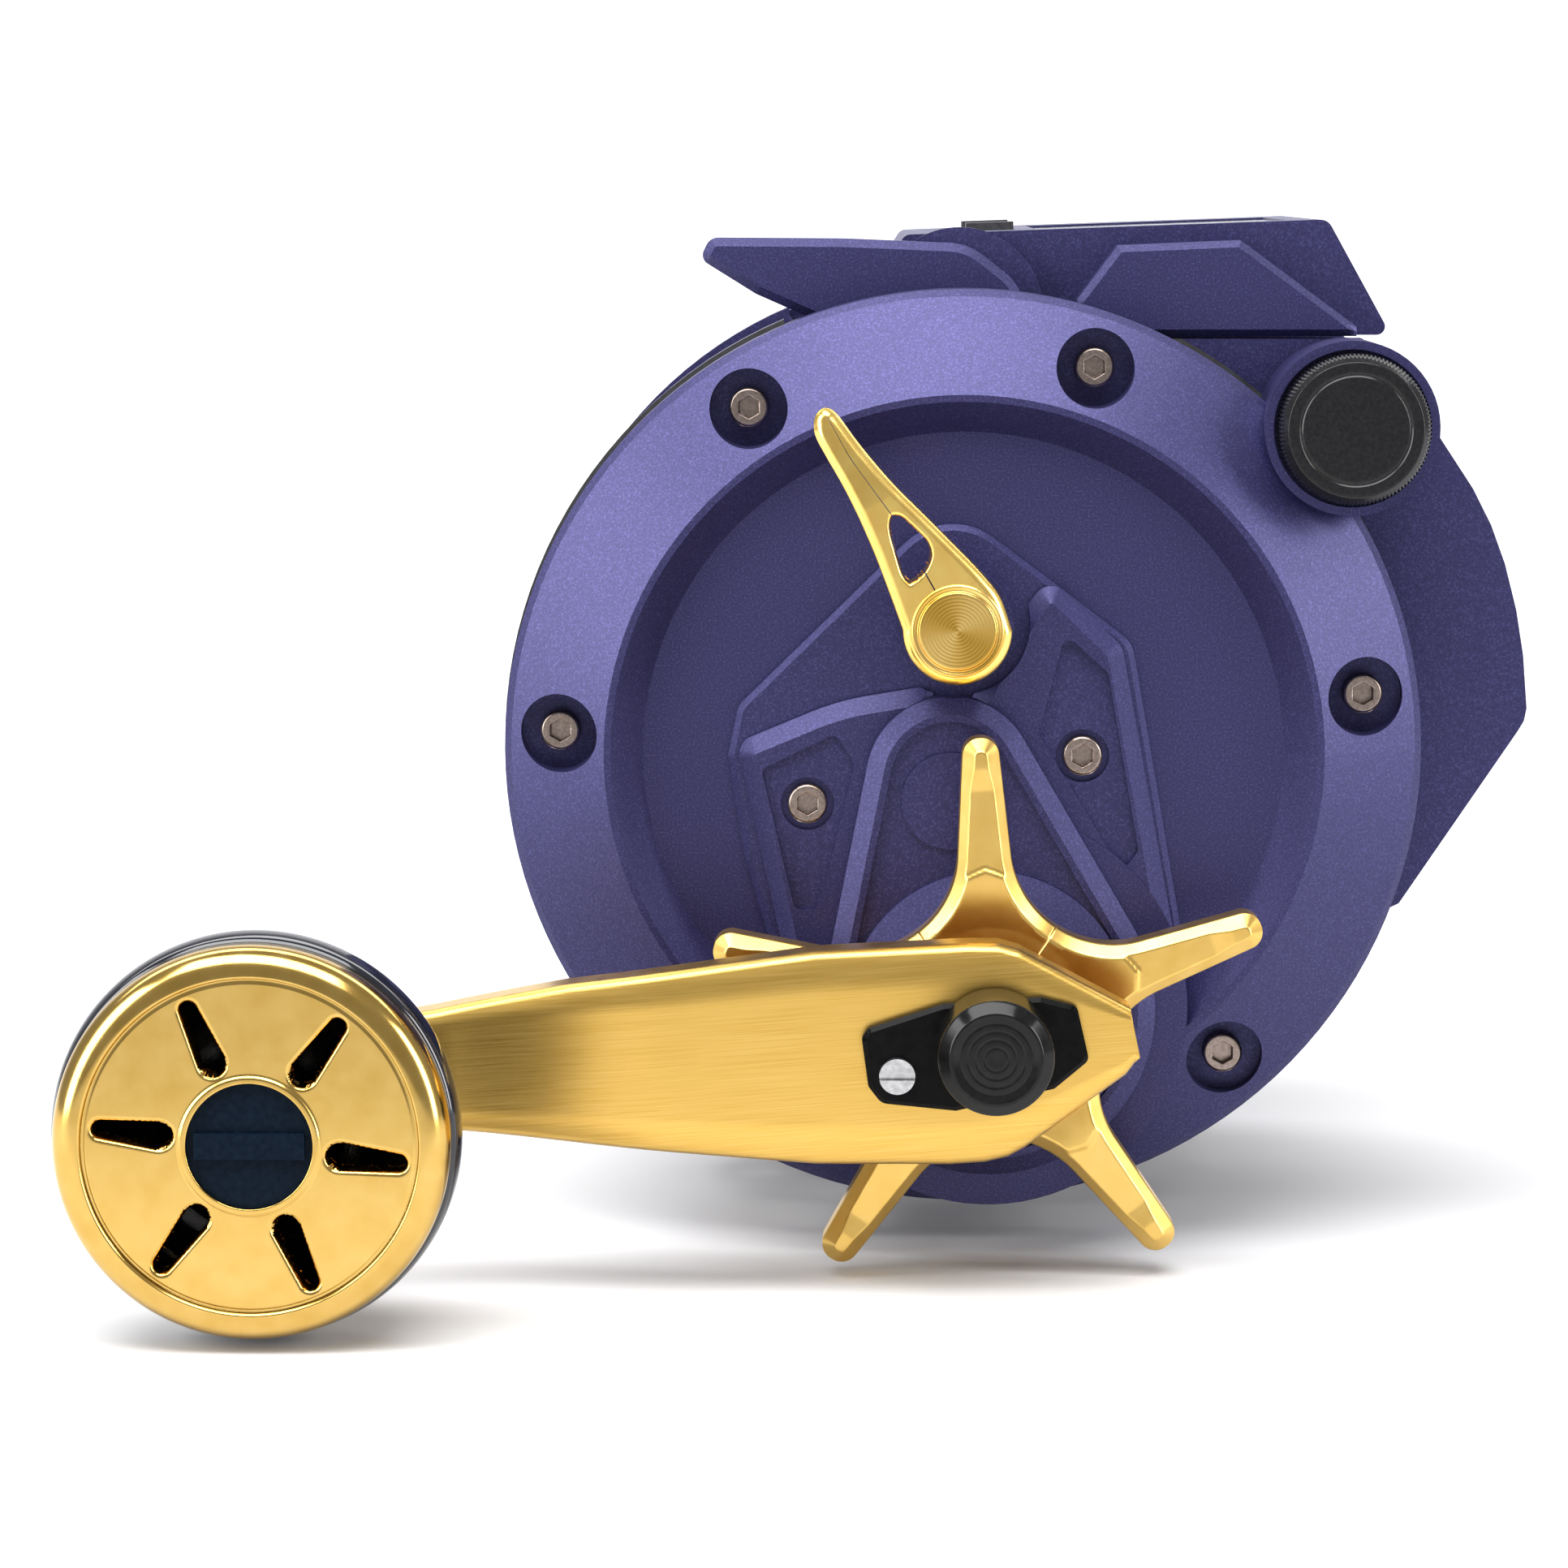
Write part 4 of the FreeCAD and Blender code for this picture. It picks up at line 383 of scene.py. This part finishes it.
def buildCamera():
    # stands in front of the handle side, a little above it, and looks straight along its heading
    elevation, azimuth = math.radians(view["elevation"]), math.radians(view["azimuth"])
    heading = Vector((-math.sin(azimuth) * math.cos(elevation), math.cos(azimuth) * math.cos(elevation),
                      -math.sin(elevation)))
    data = bpy.data.cameras.new("camera")
    data.sensor_width = view["sensor"]
    data.lens = view["lens"]
    data.clip_start = 0.01
    camera = bpy.data.objects.new("camera", data)
    camera.location = view["place"]
    camera.rotation_euler = heading.to_track_quat("-Z", "Y").to_euler()
    bpy.context.scene.collection.objects.link(camera)
    bpy.context.scene.camera = camera


buildFloor()
buildLight()
buildCamera()
print("studio ready")


def gridPiece(name, points, node, body, material, loop=False, keep=None):
    # points is a (rows, columns, 3) array in metres; loop joins the last row to the first
    rows, columns = points.shape[:2]
    first = np.arange(rows if loop else rows - 1)[:, None]
    column = np.arange(columns - 1)[None]
    after = (first + 1) % rows
    faces = np.stack([first * columns + column, first * columns + column + 1,
                      after * columns + column + 1, after * columns + column], -1)
    if keep is not None:
        faces = faces[keep]
    faces = faces.reshape(-1, 4)
    mesh = bpy.data.meshes.new(name)
    mesh.vertices.add(rows * columns)
    mesh.vertices.foreach_set("co", points.reshape(-1).astype(np.float32))
    mesh.loops.add(faces.size)
    mesh.loops.foreach_set("vertex_index", faces.reshape(-1).astype(np.int32))
    mesh.polygons.add(len(faces))
    mesh.polygons.foreach_set("loop_start", (np.arange(len(faces)) * 4).astype(np.int32))
    mesh.polygons.foreach_set("loop_total", np.full(len(faces), 4, dtype=np.int32))
    mesh.polygons.foreach_set("use_smooth", np.ones(len(faces), dtype=bool))
    mesh.update(calc_edges=True)
    mesh.validate()
    piece = bpy.data.objects.new(name, mesh)
    bpy.context.scene.collection.objects.link(piece)
    mesh.materials.append(material)
    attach(piece, body)
    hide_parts(node)
    print(name, len(faces), "faces")


def radiusOf(node):
    # half the width of a round node, in mm
    low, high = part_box(node)
    return (high[0] - low[0]) / 2 / mm


def frontOf(node):
    return -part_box(node)[0][1] / mm


def backOf(node):
    return -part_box(node)[1][1] / mm


def softPath(corners, radius, steps=5):
    # each inner corner becomes a short curve, which gives machined edges their small round
    corners = np.array(corners, dtype=float)
    path = [corners[0]]
    for before, corner, after in zip(corners[:-2], corners[1:-1], corners[2:]):
        lengths = [np.linalg.norm(before - corner), np.linalg.norm(after - corner)]
        start = corner + (before - corner) * min(radius / lengths[0], 0.45)
        end = corner + (after - corner) * min(radius / lengths[1], 0.45)
        for step in np.linspace(0, 1, steps):
            path.append((1 - step) ** 2 * start + 2 * step * (1 - step) * corner + step ** 2 * end)
    path.append(corners[-1])
    return np.array(path)


def resample(path, count):
    # even spacing along the path, with its own corners kept close
    lengths = np.concatenate([[0], np.cumsum(np.linalg.norm(np.diff(path, axis=0), axis=1))])
    spots = np.unique(np.concatenate([lengths, np.linspace(0, lengths[-1], count)]))
    return np.stack([np.interp(spots, lengths, path[:, k]) for k in range(path.shape[1])], 1)


def toWorld(centre, across, up, depth):
    # across and up in mm from a centre in metres; depth in mm towards the handle side
    return np.stack([centre[0] + across * mm, -depth * mm, centre[1] + up * mm], -1)


def lathe(name, centre, profile, turns, node, body, material, ripple=None):
    angle = np.linspace(0, 2 * math.pi, turns, endpoint=False)[:, None]
    radius = np.repeat(profile[None, :, 0], turns, 0)
    depth = np.repeat(profile[None, :, 1], turns, 0)
    if ripple is not None:
        radius = radius + ripple(angle, depth)
    points = toWorld(centre, radius * np.cos(angle), radius * np.sin(angle), depth)
    gridPiece(name, points, node, body, material, loop=True)


knob = {"slotInner": 9.7, "slotOuter": 15.9, "slotWide": 1.5, "slotNarrow": 1.0, "slots": 6,
        "firstSlot": -6.5, "ringInner": 6.75, "ringOuter": 7.35, "step": 17.9, "drop": 2.6, "turns": 600}


def buildKnobCap():
    front = frontOf("knob_cap")
    back = backOf("knob_cap")
    edge = radiusOf("knob_cap")
    face = front - 0.62
    inner = softPath([(knob["ringInner"], face - 3.0), (knob["ringInner"], face + 0.25),
                      (knob["ringOuter"], face + 0.25), (knob["ringOuter"] + 0.3, face),
                      (knob["step"] - 0.35, face + 0.05)], 0.16)
    inner = resample(inner, 84)
    # the rim swells up past the step, then rolls over to the side
    roll = np.linspace(0, 1, 26)
    rimAcross = knob["step"] + 0.25 + (edge - knob["step"] - 0.25) * np.sin(roll * math.pi / 2)
    rimDepth = front - 3.1 + 3.1 * np.cos(roll * math.pi / 2)
    outer = np.array([(knob["step"], face - 0.28), (knob["step"] + 0.12, face - 0.1)])
    side = np.array([(edge, back + 0.5), (edge - 0.15, back + 0.02)])
    profile = np.concatenate([inner, outer, np.stack([rimAcross, rimDepth], 1), side])
    turns = knob["turns"]
    angle = np.linspace(0, 2 * math.pi, turns, endpoint=False)[:, None]
    radius = np.repeat(profile[None, :, 0], turns, 0)
    depth = np.repeat(profile[None, :, 1], turns, 0)
    across, up = radius * np.cos(angle), radius * np.sin(angle)
    deepest = np.zeros_like(radius)
    onFace = (radius > knob["ringOuter"] + 0.3) & (radius < knob["step"] - 0.2)
    for slot in range(knob["slots"]):
        turn = math.radians(knob["firstSlot"] + 60 * slot)
        along = across * math.cos(turn) + up * math.sin(turn)
        aside = -across * math.sin(turn) + up * math.cos(turn)
        share = np.clip((along - knob["slotInner"]) / (knob["slotOuter"] - knob["slotInner"]), 0, 1)
        width = knob["slotWide"] + (knob["slotNarrow"] - knob["slotWide"]) * share
        offAlong = along - (knob["slotInner"] + (knob["slotOuter"] - knob["slotInner"]) * share)
        gap = np.hypot(offAlong, aside) + 1e-9
        distance = gap - width
        near = onFace & (np.abs(distance) < 0.10)  # points beside the slot's edge move onto it
        along = np.where(near, along - distance * offAlong / gap, along)
        aside = np.where(near, aside - distance * aside / gap, aside)
        across = np.where(near, along * math.cos(turn) - aside * math.sin(turn), across)
        up = np.where(near, along * math.sin(turn) + aside * math.cos(turn), up)
        distance = np.where(near, 0, distance)
        softened = np.clip(1 - distance / 0.4, 0, 1) ** 2 * 0.28
        wall = np.clip(-distance / 0.12, 0, 1) * knob["drop"]
        deepest = np.maximum(deepest, np.where(onFace, softened + wall, 0))
    points = toWorld(knobAxis, across, up, depth - deepest)
    after = np.roll(deepest, -1, 0)
    lowest = np.minimum(np.minimum(deepest[:, :-1], deepest[:, 1:]), np.minimum(after[:, :-1], after[:, 1:]))
    gridPiece("fineKnobCap", points, "knob_cap", "knob", shadedPolishedGold, loop=True,
              keep=lowest < knob["drop"])


def buildKnobBody():
    back = backOf("knob_body")
    front = frontOf("knob_body")
    widest = radiusOf("knob_body")
    corners = [(4.0, back + 0.02), (9.0, back + 0.02), (9.8, back + 1.0), (9.5, back + 5), (11.6, back + 9.5),
               (16.5, back + 14), (20.4, back + 18.5), (widest, back + 23.4), (widest - 0.1, back + 25.6),
               (21.4, front - 0.02), (19.3, front - 0.02), (18.0, front - 5), (8.5, front - 10.5),
               (4.0, front - 10.7)]
    profile = resample(softPath(corners, 3.0, 9), 90)
    lathe("fineKnobBody", knobAxis, profile, 160, "knob_body", "knob", gripBlack)


endCap = {"teeth": 112, "toothDepth": 0.22, "perTooth": 6, "groove": 6.3, "grooveWidth": 0.22,
          "grooveDepth": 0.22}


def buildEndCap():
    front = frontOf("level_wind_cap")
    back = backOf("level_wind_cap")
    edge = radiusOf("level_wind_cap")
    groove, wide, deep = endCap["groove"], endCap["grooveWidth"], endCap["grooveDepth"]
    corners = [(0.01, front - 0.02), (groove - wide, front - 0.02), (groove, front - deep),
               (groove + wide, front - 0.02), (edge - 1.0, front - 0.02), (edge - 0.75, front - 0.35),
               (edge - 0.1, front - 1.15), (edge - 0.02, front - 1.3), (edge - 0.02, back + 6.75),
               (edge - 0.5, back + 6.45), (6.0, back + 6.45)]
    profile = resample(softPath(corners, 0.12, 4), 40)

    def knurl(angle, depth):
        # fine teeth along the side, fading out at the front bevel
        share = np.clip((front - 0.9 - depth) / 0.25, 0, 1)
        return -endCap["toothDepth"] * share * (0.5 + 0.5 * np.cos(endCap["teeth"] * angle))

    lathe("fineEndCap", capAxis, profile, endCap["teeth"] * endCap["perTooth"], "level_wind_cap", "end_cap",
          blackAnodised, ripple=knurl)


nut = {"radius": 6.4, "dish": 0.32, "ringRear": 0.3, "rings": (1.3, 2.2, 3.1, 4.0), "ringDepth": 0.05,
       "ringHalf": 0.16}


def buildNut():
    front = frontOf("handle_nut")
    back = backOf("handle_nut")
    corners = [(0.01, front - 0.35)]
    for radius in nut["rings"]:  # turned rings left by the tool in the dished face
        corners += [(radius - nut["ringHalf"], front - nut["dish"]),
                    (radius, front - nut["dish"] - nut["ringDepth"]),
                    (radius + nut["ringHalf"], front - nut["ringRear"])]
    corners += [(4.75, front - 0.02), (5.1, front - 0.02), (nut["radius"], front - 1.25),
                (nut["radius"], back + 0.02), (4.3, back + 0.02)]
    profile = resample(softPath(corners, 0.14, 4), 50)
    lathe("fineNut", crankAxis, profile, 144, "handle_nut", "crank", blackGloss)


leverCap = {"ring": 5.15, "groove": 4.55}


def buildLeverCap():
    front = frontOf("clutch_lever_cap")
    back = backOf("clutch_lever_cap")
    corners = [(0.01, front - 0.05), (4.3, front - 0.05), (leverCap["groove"], front - 0.35),
               (leverCap["groove"] + 0.2, front - 0.35), (leverCap["ring"] - 0.15, front - 0.22),
               (5.3, front - 0.4), (5.3, back + 0.05)]
    profile = resample(softPath(corners, 0.1, 4), 40)
    lathe("fineLeverCap", clutchAxis, profile, 144, "clutch_lever_cap", "clutch", spunGold)


star = {"tip": 2.1, "tipRound": 2.0, "valleyPoint": 6.8, "valleyArc": 11.7, "firstArm": 92.3, "chamfer": 1.45,
        "ridge": 17.6, "padEnd": 29.3, "padFall": 0.7, "hubRise": 1.5, "hubHole": 4.2, "thickness": 5.4,
        "facetDrop": 0.32, "length": 32.7}


def starOutline(length):
    # half of one arm, from the valley to the tip: valley arc, straight flank, tip arc
    half = math.radians(36)
    corner = star["valleyPoint"] * np.array([math.cos(half), math.sin(half)])
    flankEnd = np.array([length, star["tip"]])
    flank = (flankEnd - corner) / np.linalg.norm(flankEnd - corner)
    reach = math.atan2(-flank[1], flank[0])
    opening = half + reach
    centreDistance = star["valleyPoint"] + star["valleyArc"] / math.sin(opening)
    centre = centreDistance * np.array([math.cos(half), math.sin(half)])
    begin = math.pi + half
    finish = begin + (math.pi / 2 - opening)
    sweep = np.linspace(begin, finish, 40)
    arc = centre + star["valleyArc"] * np.stack([np.cos(sweep), np.sin(sweep)], 1)
    roundCentre = np.array([length - star["tipRound"], star["tip"] - star["tipRound"] + 0.02])
    sweep = np.linspace(math.pi / 2 - reach * 0.5, 0, 24)
    tip = roundCentre + star["tipRound"] * np.stack([np.cos(sweep), np.sin(sweep)], 1)
    flankRun = np.linspace(arc[-1], tip[0], 60)[1:-1]
    return np.concatenate([arc, flankRun, tip, [[length, 0]]])


def nearest(points, outline):
    # distance from each point to the closest piece of the outline
    start, end = outline[:-1], outline[1:]
    run = end - start
    offset = points[:, None] - start[None]
    share = np.clip((offset * run[None]).sum(-1) / np.maximum((run * run).sum(-1), 1e-12), 0, 1)
    return np.linalg.norm(offset - share[..., None] * run[None], axis=-1).min(1)


def buildStar():
    top = frontOf("star_drag") - star["hubRise"]
    length = star["length"]
    half = starOutline(length)
    outline = np.concatenate([half, half[::-1] * np.array([1, -1])])
    valley = half[0][0]
    along = np.concatenate([np.linspace(star["hubHole"], valley, 24)[:-1], half[:, 0][:-1], [length - 1e-4]])
    along = np.unique(along)
    width = np.interp(along, half[:, 0], half[:, 1])
    width = np.where(along < valley, along * math.tan(math.radians(36)), width)
    share = np.linspace(-1, 1, 49)
    x = np.repeat(along[:, None], len(share), 1)
    y = width[:, None] * share[None]
    distance = nearest(np.stack([x.ravel(), y.ravel()], 1), outline).reshape(x.shape)
    distance = np.where((np.abs(share)[None] > 0.999) & (along[:, None] >= valley), 0, distance)
    drop = star["chamfer"] * np.clip(1 - distance / star["chamfer"], 0, 1)
    # the ridge is milled a little lower between the pad and the tip
    radius = np.hypot(x, y)
    milled = np.clip((radius - star["ridge"] + 0.35 * np.abs(y)) / 0.5, 0, 1)
    milled = milled * np.clip((star["padEnd"] - x) / 2.5, 0, 1)
    drop = np.maximum(drop, star["facetDrop"] * milled)
    # the pad falls away towards the hub, then meets it in a small hollow
    fall = np.clip((star["ridge"] - radius) / 6.5, 0, 1)
    drop = drop + star["padFall"] * fall ** 1.5
    depth = top - drop
    back = top - star["thickness"]
    wall = np.stack([np.full_like(width, back)] * 2, 1)
    x = np.concatenate([x[:, :1] * 0.9, x[:, :1], x, x[:, -1:], x[:, -1:] * 0.9], 1)
    y = np.concatenate([y[:, :1] * 0.2, y[:, :1], y, y[:, -1:], y[:, -1:] * 0.2], 1)
    depth = np.concatenate([wall, depth, wall], 1)
    sectors = []
    for arm in range(5):
        turn = math.radians(star["firstArm"] + 72 * arm)
        sectors.append(toWorld(crankAxis, x * math.cos(turn) - y * math.sin(turn),
                               x * math.sin(turn) + y * math.cos(turn), depth))
    keep = np.ones((5 * len(along) - 1, x.shape[1] - 1), dtype=bool)
    keep[len(along) - 1::len(along)] = False  # no faces between one arm's tip and the next arm's root
    gridPiece("fineStar", np.concatenate(sectors), "star_drag", "star", satinGold, keep=keep)


clutchLever = {"outline": [(-6.2, 0.0), (-7.5, 3.6), (-9.3, 8.4), (-11.2, 12.8), (-13.0, 16.4),
                           (-14.9, 19.6), (-16.3, 22.1), (-16.3, 24.1), (-15.2, 25.2), (-13.9, 24.8),
                           (-11.3, 21.2), (-8.8, 18.2), (-6.6, 15.8), (-3.9, 13.2), (-0.9, 10.2),
                           (2.1, 7.2), (4.9, 4.0), (6.2, 0.0)],
               "window": [(-7.6, 13.1), (-6.5, 13.2), (-3.2, 10.1), (-2.8, 8.5), (-3.6, 6.6), (-5.4, 5.2),
                          (-6.3, 6.0), (-7.9, 11.6)],
               "spine": [(0, 0), (-7.0, 12.5), (-12.2, 19.5), (-14.8, 24.2)],
               "edge": 1.1, "edgeDrop": 0.8, "crease": 17.0, "tipDrop": 1.4, "hubRadius": 6.2, "capSeat": 4.9,
               "windowDepth": 3.0, "thickness": 4.4}


def buildClutchLever():
    front = frontOf("clutch_lever")
    ring = softPath(clutchLever["outline"], 1.6, 5)
    hub = np.linspace(0, math.pi, 60)
    hub = clutchLever["hubRadius"] * np.stack([np.cos(hub), -np.sin(hub)], 1)  # the round end below the axis
    outline = resample(np.concatenate([ring, hub]), 420)
    spread = np.concatenate([[0, 0], np.linspace(0, 0.35, 24)[1:], np.linspace(0.35, 0.985, 56)[1:]])
    spine = np.array(clutchLever["spine"], dtype=float)
    lengths = np.concatenate([[0], np.cumsum(np.linalg.norm(np.diff(spine, axis=0), axis=1))])
    dense = np.linspace(0, lengths[-1], 160)
    spinePoints = np.stack([np.interp(dense, lengths, spine[:, k]) for k in (0, 1)], 1)
    # each outline point is drawn in towards the closest place on the lever's spine
    gap = np.linalg.norm(outline[:, None] - spinePoints[None], axis=-1)
    goal = spinePoints[gap.argmin(1)]
    around = np.concatenate([goal[-9:], goal, goal[:9]])
    goal = np.stack([np.convolve(around[:, k], np.ones(19) / 19, "valid") for k in (0, 1)], 1)
    points = outline[:, None] + (goal - outline)[:, None] * spread[None, :, None]
    x, y = points[..., 0], points[..., 1]
    distance = nearest(points.reshape(-1, 2), np.concatenate([outline, outline[:1]])).reshape(x.shape)
    distance[:, :2] = 0
    edge = clutchLever["edge"]
    inset = np.clip(edge - distance, 0, edge)
    drop = 0.05 + clutchLever["edgeDrop"] * (inset / edge) ** 2
    # past the crease the blade rolls down towards its tip
    along = -x * 0.52 + y * 0.854
    drop = drop + np.clip((along - clutchLever["crease"]) / 11.0, 0, 1) ** 1.5 * clutchLever["tipDrop"]
    window = np.array(clutchLever["window"])
    following = np.roll(window, -1, 0)
    run = following - window
    normal = np.stack([-run[:, 1], run[:, 0]], 1) / np.linalg.norm(run, axis=1)[:, None]
    planes = ((points[:, :, None] - window) * normal).sum(-1)
    rounded = np.log(np.exp(np.clip(planes * 5.0, -60, 60)).sum(-1)) / 5.0
    pit = np.clip(-rounded / 0.15, 0, 1) * clutchLever["windowDepth"]
    pit = pit + np.clip(1 - np.abs(rounded) / 0.5, 0, 1) ** 2 * 0.2
    depth = front - np.maximum(drop, pit)
    depth[:, 0] = front - clutchLever["thickness"]
    depth = depth - np.where(np.hypot(x, y) < clutchLever["capSeat"], 1.0, 0)  # the cap sits in the hub
    after = np.roll(pit, -1, 0)
    lowest = np.minimum(np.minimum(pit[:, :-1], pit[:, 1:]), np.minimum(after[:, :-1], after[:, 1:]))
    points = toWorld(clutchAxis, x, y, depth)
    gridPiece("fineClutchLever", points, "clutch_lever", "clutch", litLeverGold, loop=True,
              keep=lowest < clutchLever["windowDepth"])


arm = {"chamfer": 0.9, "thickness": 6.0, "bendStart": 36.0, "bendRun": 24.0, "bendDrop": 3.0,
       "upper": [(-16.1, 3.0), (-14.4, 4.9), (-2.6, 12.2), (-0.6, 13.1), (2.0, 13.5), (6.0, 13.45),
                 (21, 12.2), (60, 5.9), (66, 5.3), (80, 5.5), (84.0, 4.6), (86.0, 1.2)],
       "lower": [(-16.1, 2.8), (-15.5, -2.5), (-3.6, -10.1), (-1.4, -10.9), (2, -11.2), (19, -11.7),
                 (47, -10.0), (62, -8.1), (75, -6.9), (80, -6.5), (84.0, -4.8), (86.0, -0.8)]}


def buildArm():
    front = frontOf("handle_arm")
    thickness = arm["thickness"]
    along = np.unique(np.concatenate([np.linspace(arm["upper"][0][0], arm["upper"][-1][0], 170)] +
                                     [np.array(arm[side])[:, 0] for side in ("upper", "lower")]))
    upper = np.interp(along, *np.array(arm["upper"]).T)
    lower = np.interp(along, *np.array(arm["lower"]).T)
    bend = np.clip((along - arm["bendStart"]) / arm["bendRun"], 0, 1)
    drop = arm["bendDrop"] * bend * bend * (3 - 2 * bend)  # smooth S bend down towards the knob
    middle, half = (upper + lower) / 2, (upper - lower) / 2
    chamfer = np.minimum(arm["chamfer"], half * 0.6)
    # cross-section all the way round: (share of half width, inset, depth below the front)
    section = [(-1, "side", thickness - 0.3), (-1, "side", 1.6), (-1, "side", "chamfer"),
               (-1, "soft", "soft"),
               (-1, "inset", 0.0), (-0.6, None, 0.0), (0, None, 0.0), (0.6, None, 0.0), (1, "inset", 0.0),
               (1, "soft", "soft"), (1, "side", "chamfer"), (1, "side", 1.6), (1, "side", thickness - 0.3),
               (0.9, None, thickness), (-0.9, None, thickness), (-1, "side", thickness - 0.3)]
    rows = []
    for share, kind, below in section:
        inset = {"side": 0, "inset": chamfer, "soft": chamfer * 0.45, None: 0}[kind]
        across = middle + share * half - np.sign(share) * inset
        fall = {"chamfer": chamfer, "soft": chamfer * 0.4}.get(below, below)
        rows.append((across, front - drop - fall))
    across = np.stack([row[0] for row in rows], 1)
    depth = np.stack([row[1] for row in rows], 1)
    x = np.repeat(along[:, None], across.shape[1], 1)
    points = toWorld(crankAxis, x * math.cos(armAngle) - across * math.sin(armAngle),
                     x * math.sin(armAngle) + across * math.cos(armAngle), depth)
    gridPiece("fineArm", points, "handle_arm", "crank", brushedGold)


screw = {"circle": 47.0, "angles": (122, 177.3, 71.3, 8.1, -49.4, -117), "radius": 2.28, "bevel": 0.35,
         "hex": 1.18, "hexDepth": 1.3, "height": 2.1}
caseScrew = {"places": ((-18.04, -5.64), (13.69, -0.03)), "height": 1.15}


def screwHead(centre, front, height, facing):
    # bevelled disc with a hexagonal socket; facing is 1 towards the handle side and -1 away from it
    radius = np.concatenate([np.linspace(0.02, 0.85, 5), np.linspace(0.92, 1.5, 16),
                             np.linspace(1.55, screw["radius"], 10), [screw["radius"], screw["radius"]]])
    turns = 96
    angle = np.linspace(0, 2 * math.pi, turns, endpoint=False)[:, None]
    ring = np.repeat(radius[None], turns, 0)
    across, up = ring * np.cos(angle), ring * np.sin(angle)
    sides = np.radians([0, 60, 120])
    reach = np.max([np.abs(across * math.cos(side) + up * math.sin(side)) for side in sides], 0)
    distance = reach - screw["hex"]
    near = np.abs(distance) < 0.035  # points beside the socket's edge move onto it
    scale = np.where(near, screw["hex"] / reach, 1.0)
    across, up = across * scale, up * scale
    distance = np.where(near, 0, distance)
    socket = np.clip(-distance / 0.05, 0, 1) * screw["hexDepth"]
    rim = np.clip((ring - (screw["radius"] - screw["bevel"])) / screw["bevel"], 0, 1) ** 2 * 0.28
    edge = np.clip(1 - np.abs(distance) / 0.09, 0, 1) * 0.05
    depth = front - np.maximum(socket, 0) - rim - edge
    depth[:, -1] = front - height
    return toWorld(centre, across, up, facing * depth)


def manyHeads(name, heads, node, body, material):
    columns = heads[0].shape[1]
    rows = [np.concatenate([head, head[:1]]) for head in heads]
    keep = np.ones((sum(len(row) for row in rows) - 1, columns - 1), dtype=bool)
    keep[len(rows[0]) - 1::len(rows[0])] = False  # no faces between one head and the next
    gridPiece(name, np.concatenate(rows), node, body, material, keep=keep)


def buildScrews():
    heads = []
    rightFront = frontOf("side_cover_screws")
    leftFront = -backOf("side_cover_screws")
    for facing, front in ((1, rightFront), (-1, leftFront)):
        for degrees in screw["angles"]:
            turn = math.radians(degrees)
            centre = spoolAxis + screw["circle"] * mm * np.array([math.cos(turn), math.sin(turn)])
            heads.append(screwHead(centre, front, screw["height"], facing))
    manyHeads("fineCoverScrews", heads, "side_cover_screws", "frame", bronzeSteel)
    front = frontOf("gear_case_screws")
    heads = [screwHead(spoolAxis + np.array(place) * mm, front, caseScrew["height"], 1)
             for place in caseScrew["places"]]
    manyHeads("fineCaseScrews", heads, "gear_case_screws", "frame", bronzeSteel)


buildScrews()
buildKnobCap()
buildKnobBody()
buildEndCap()
buildNut()
buildLeverCap()
buildClutchLever()
buildStar()
buildArm()
print("finer pieces ready")
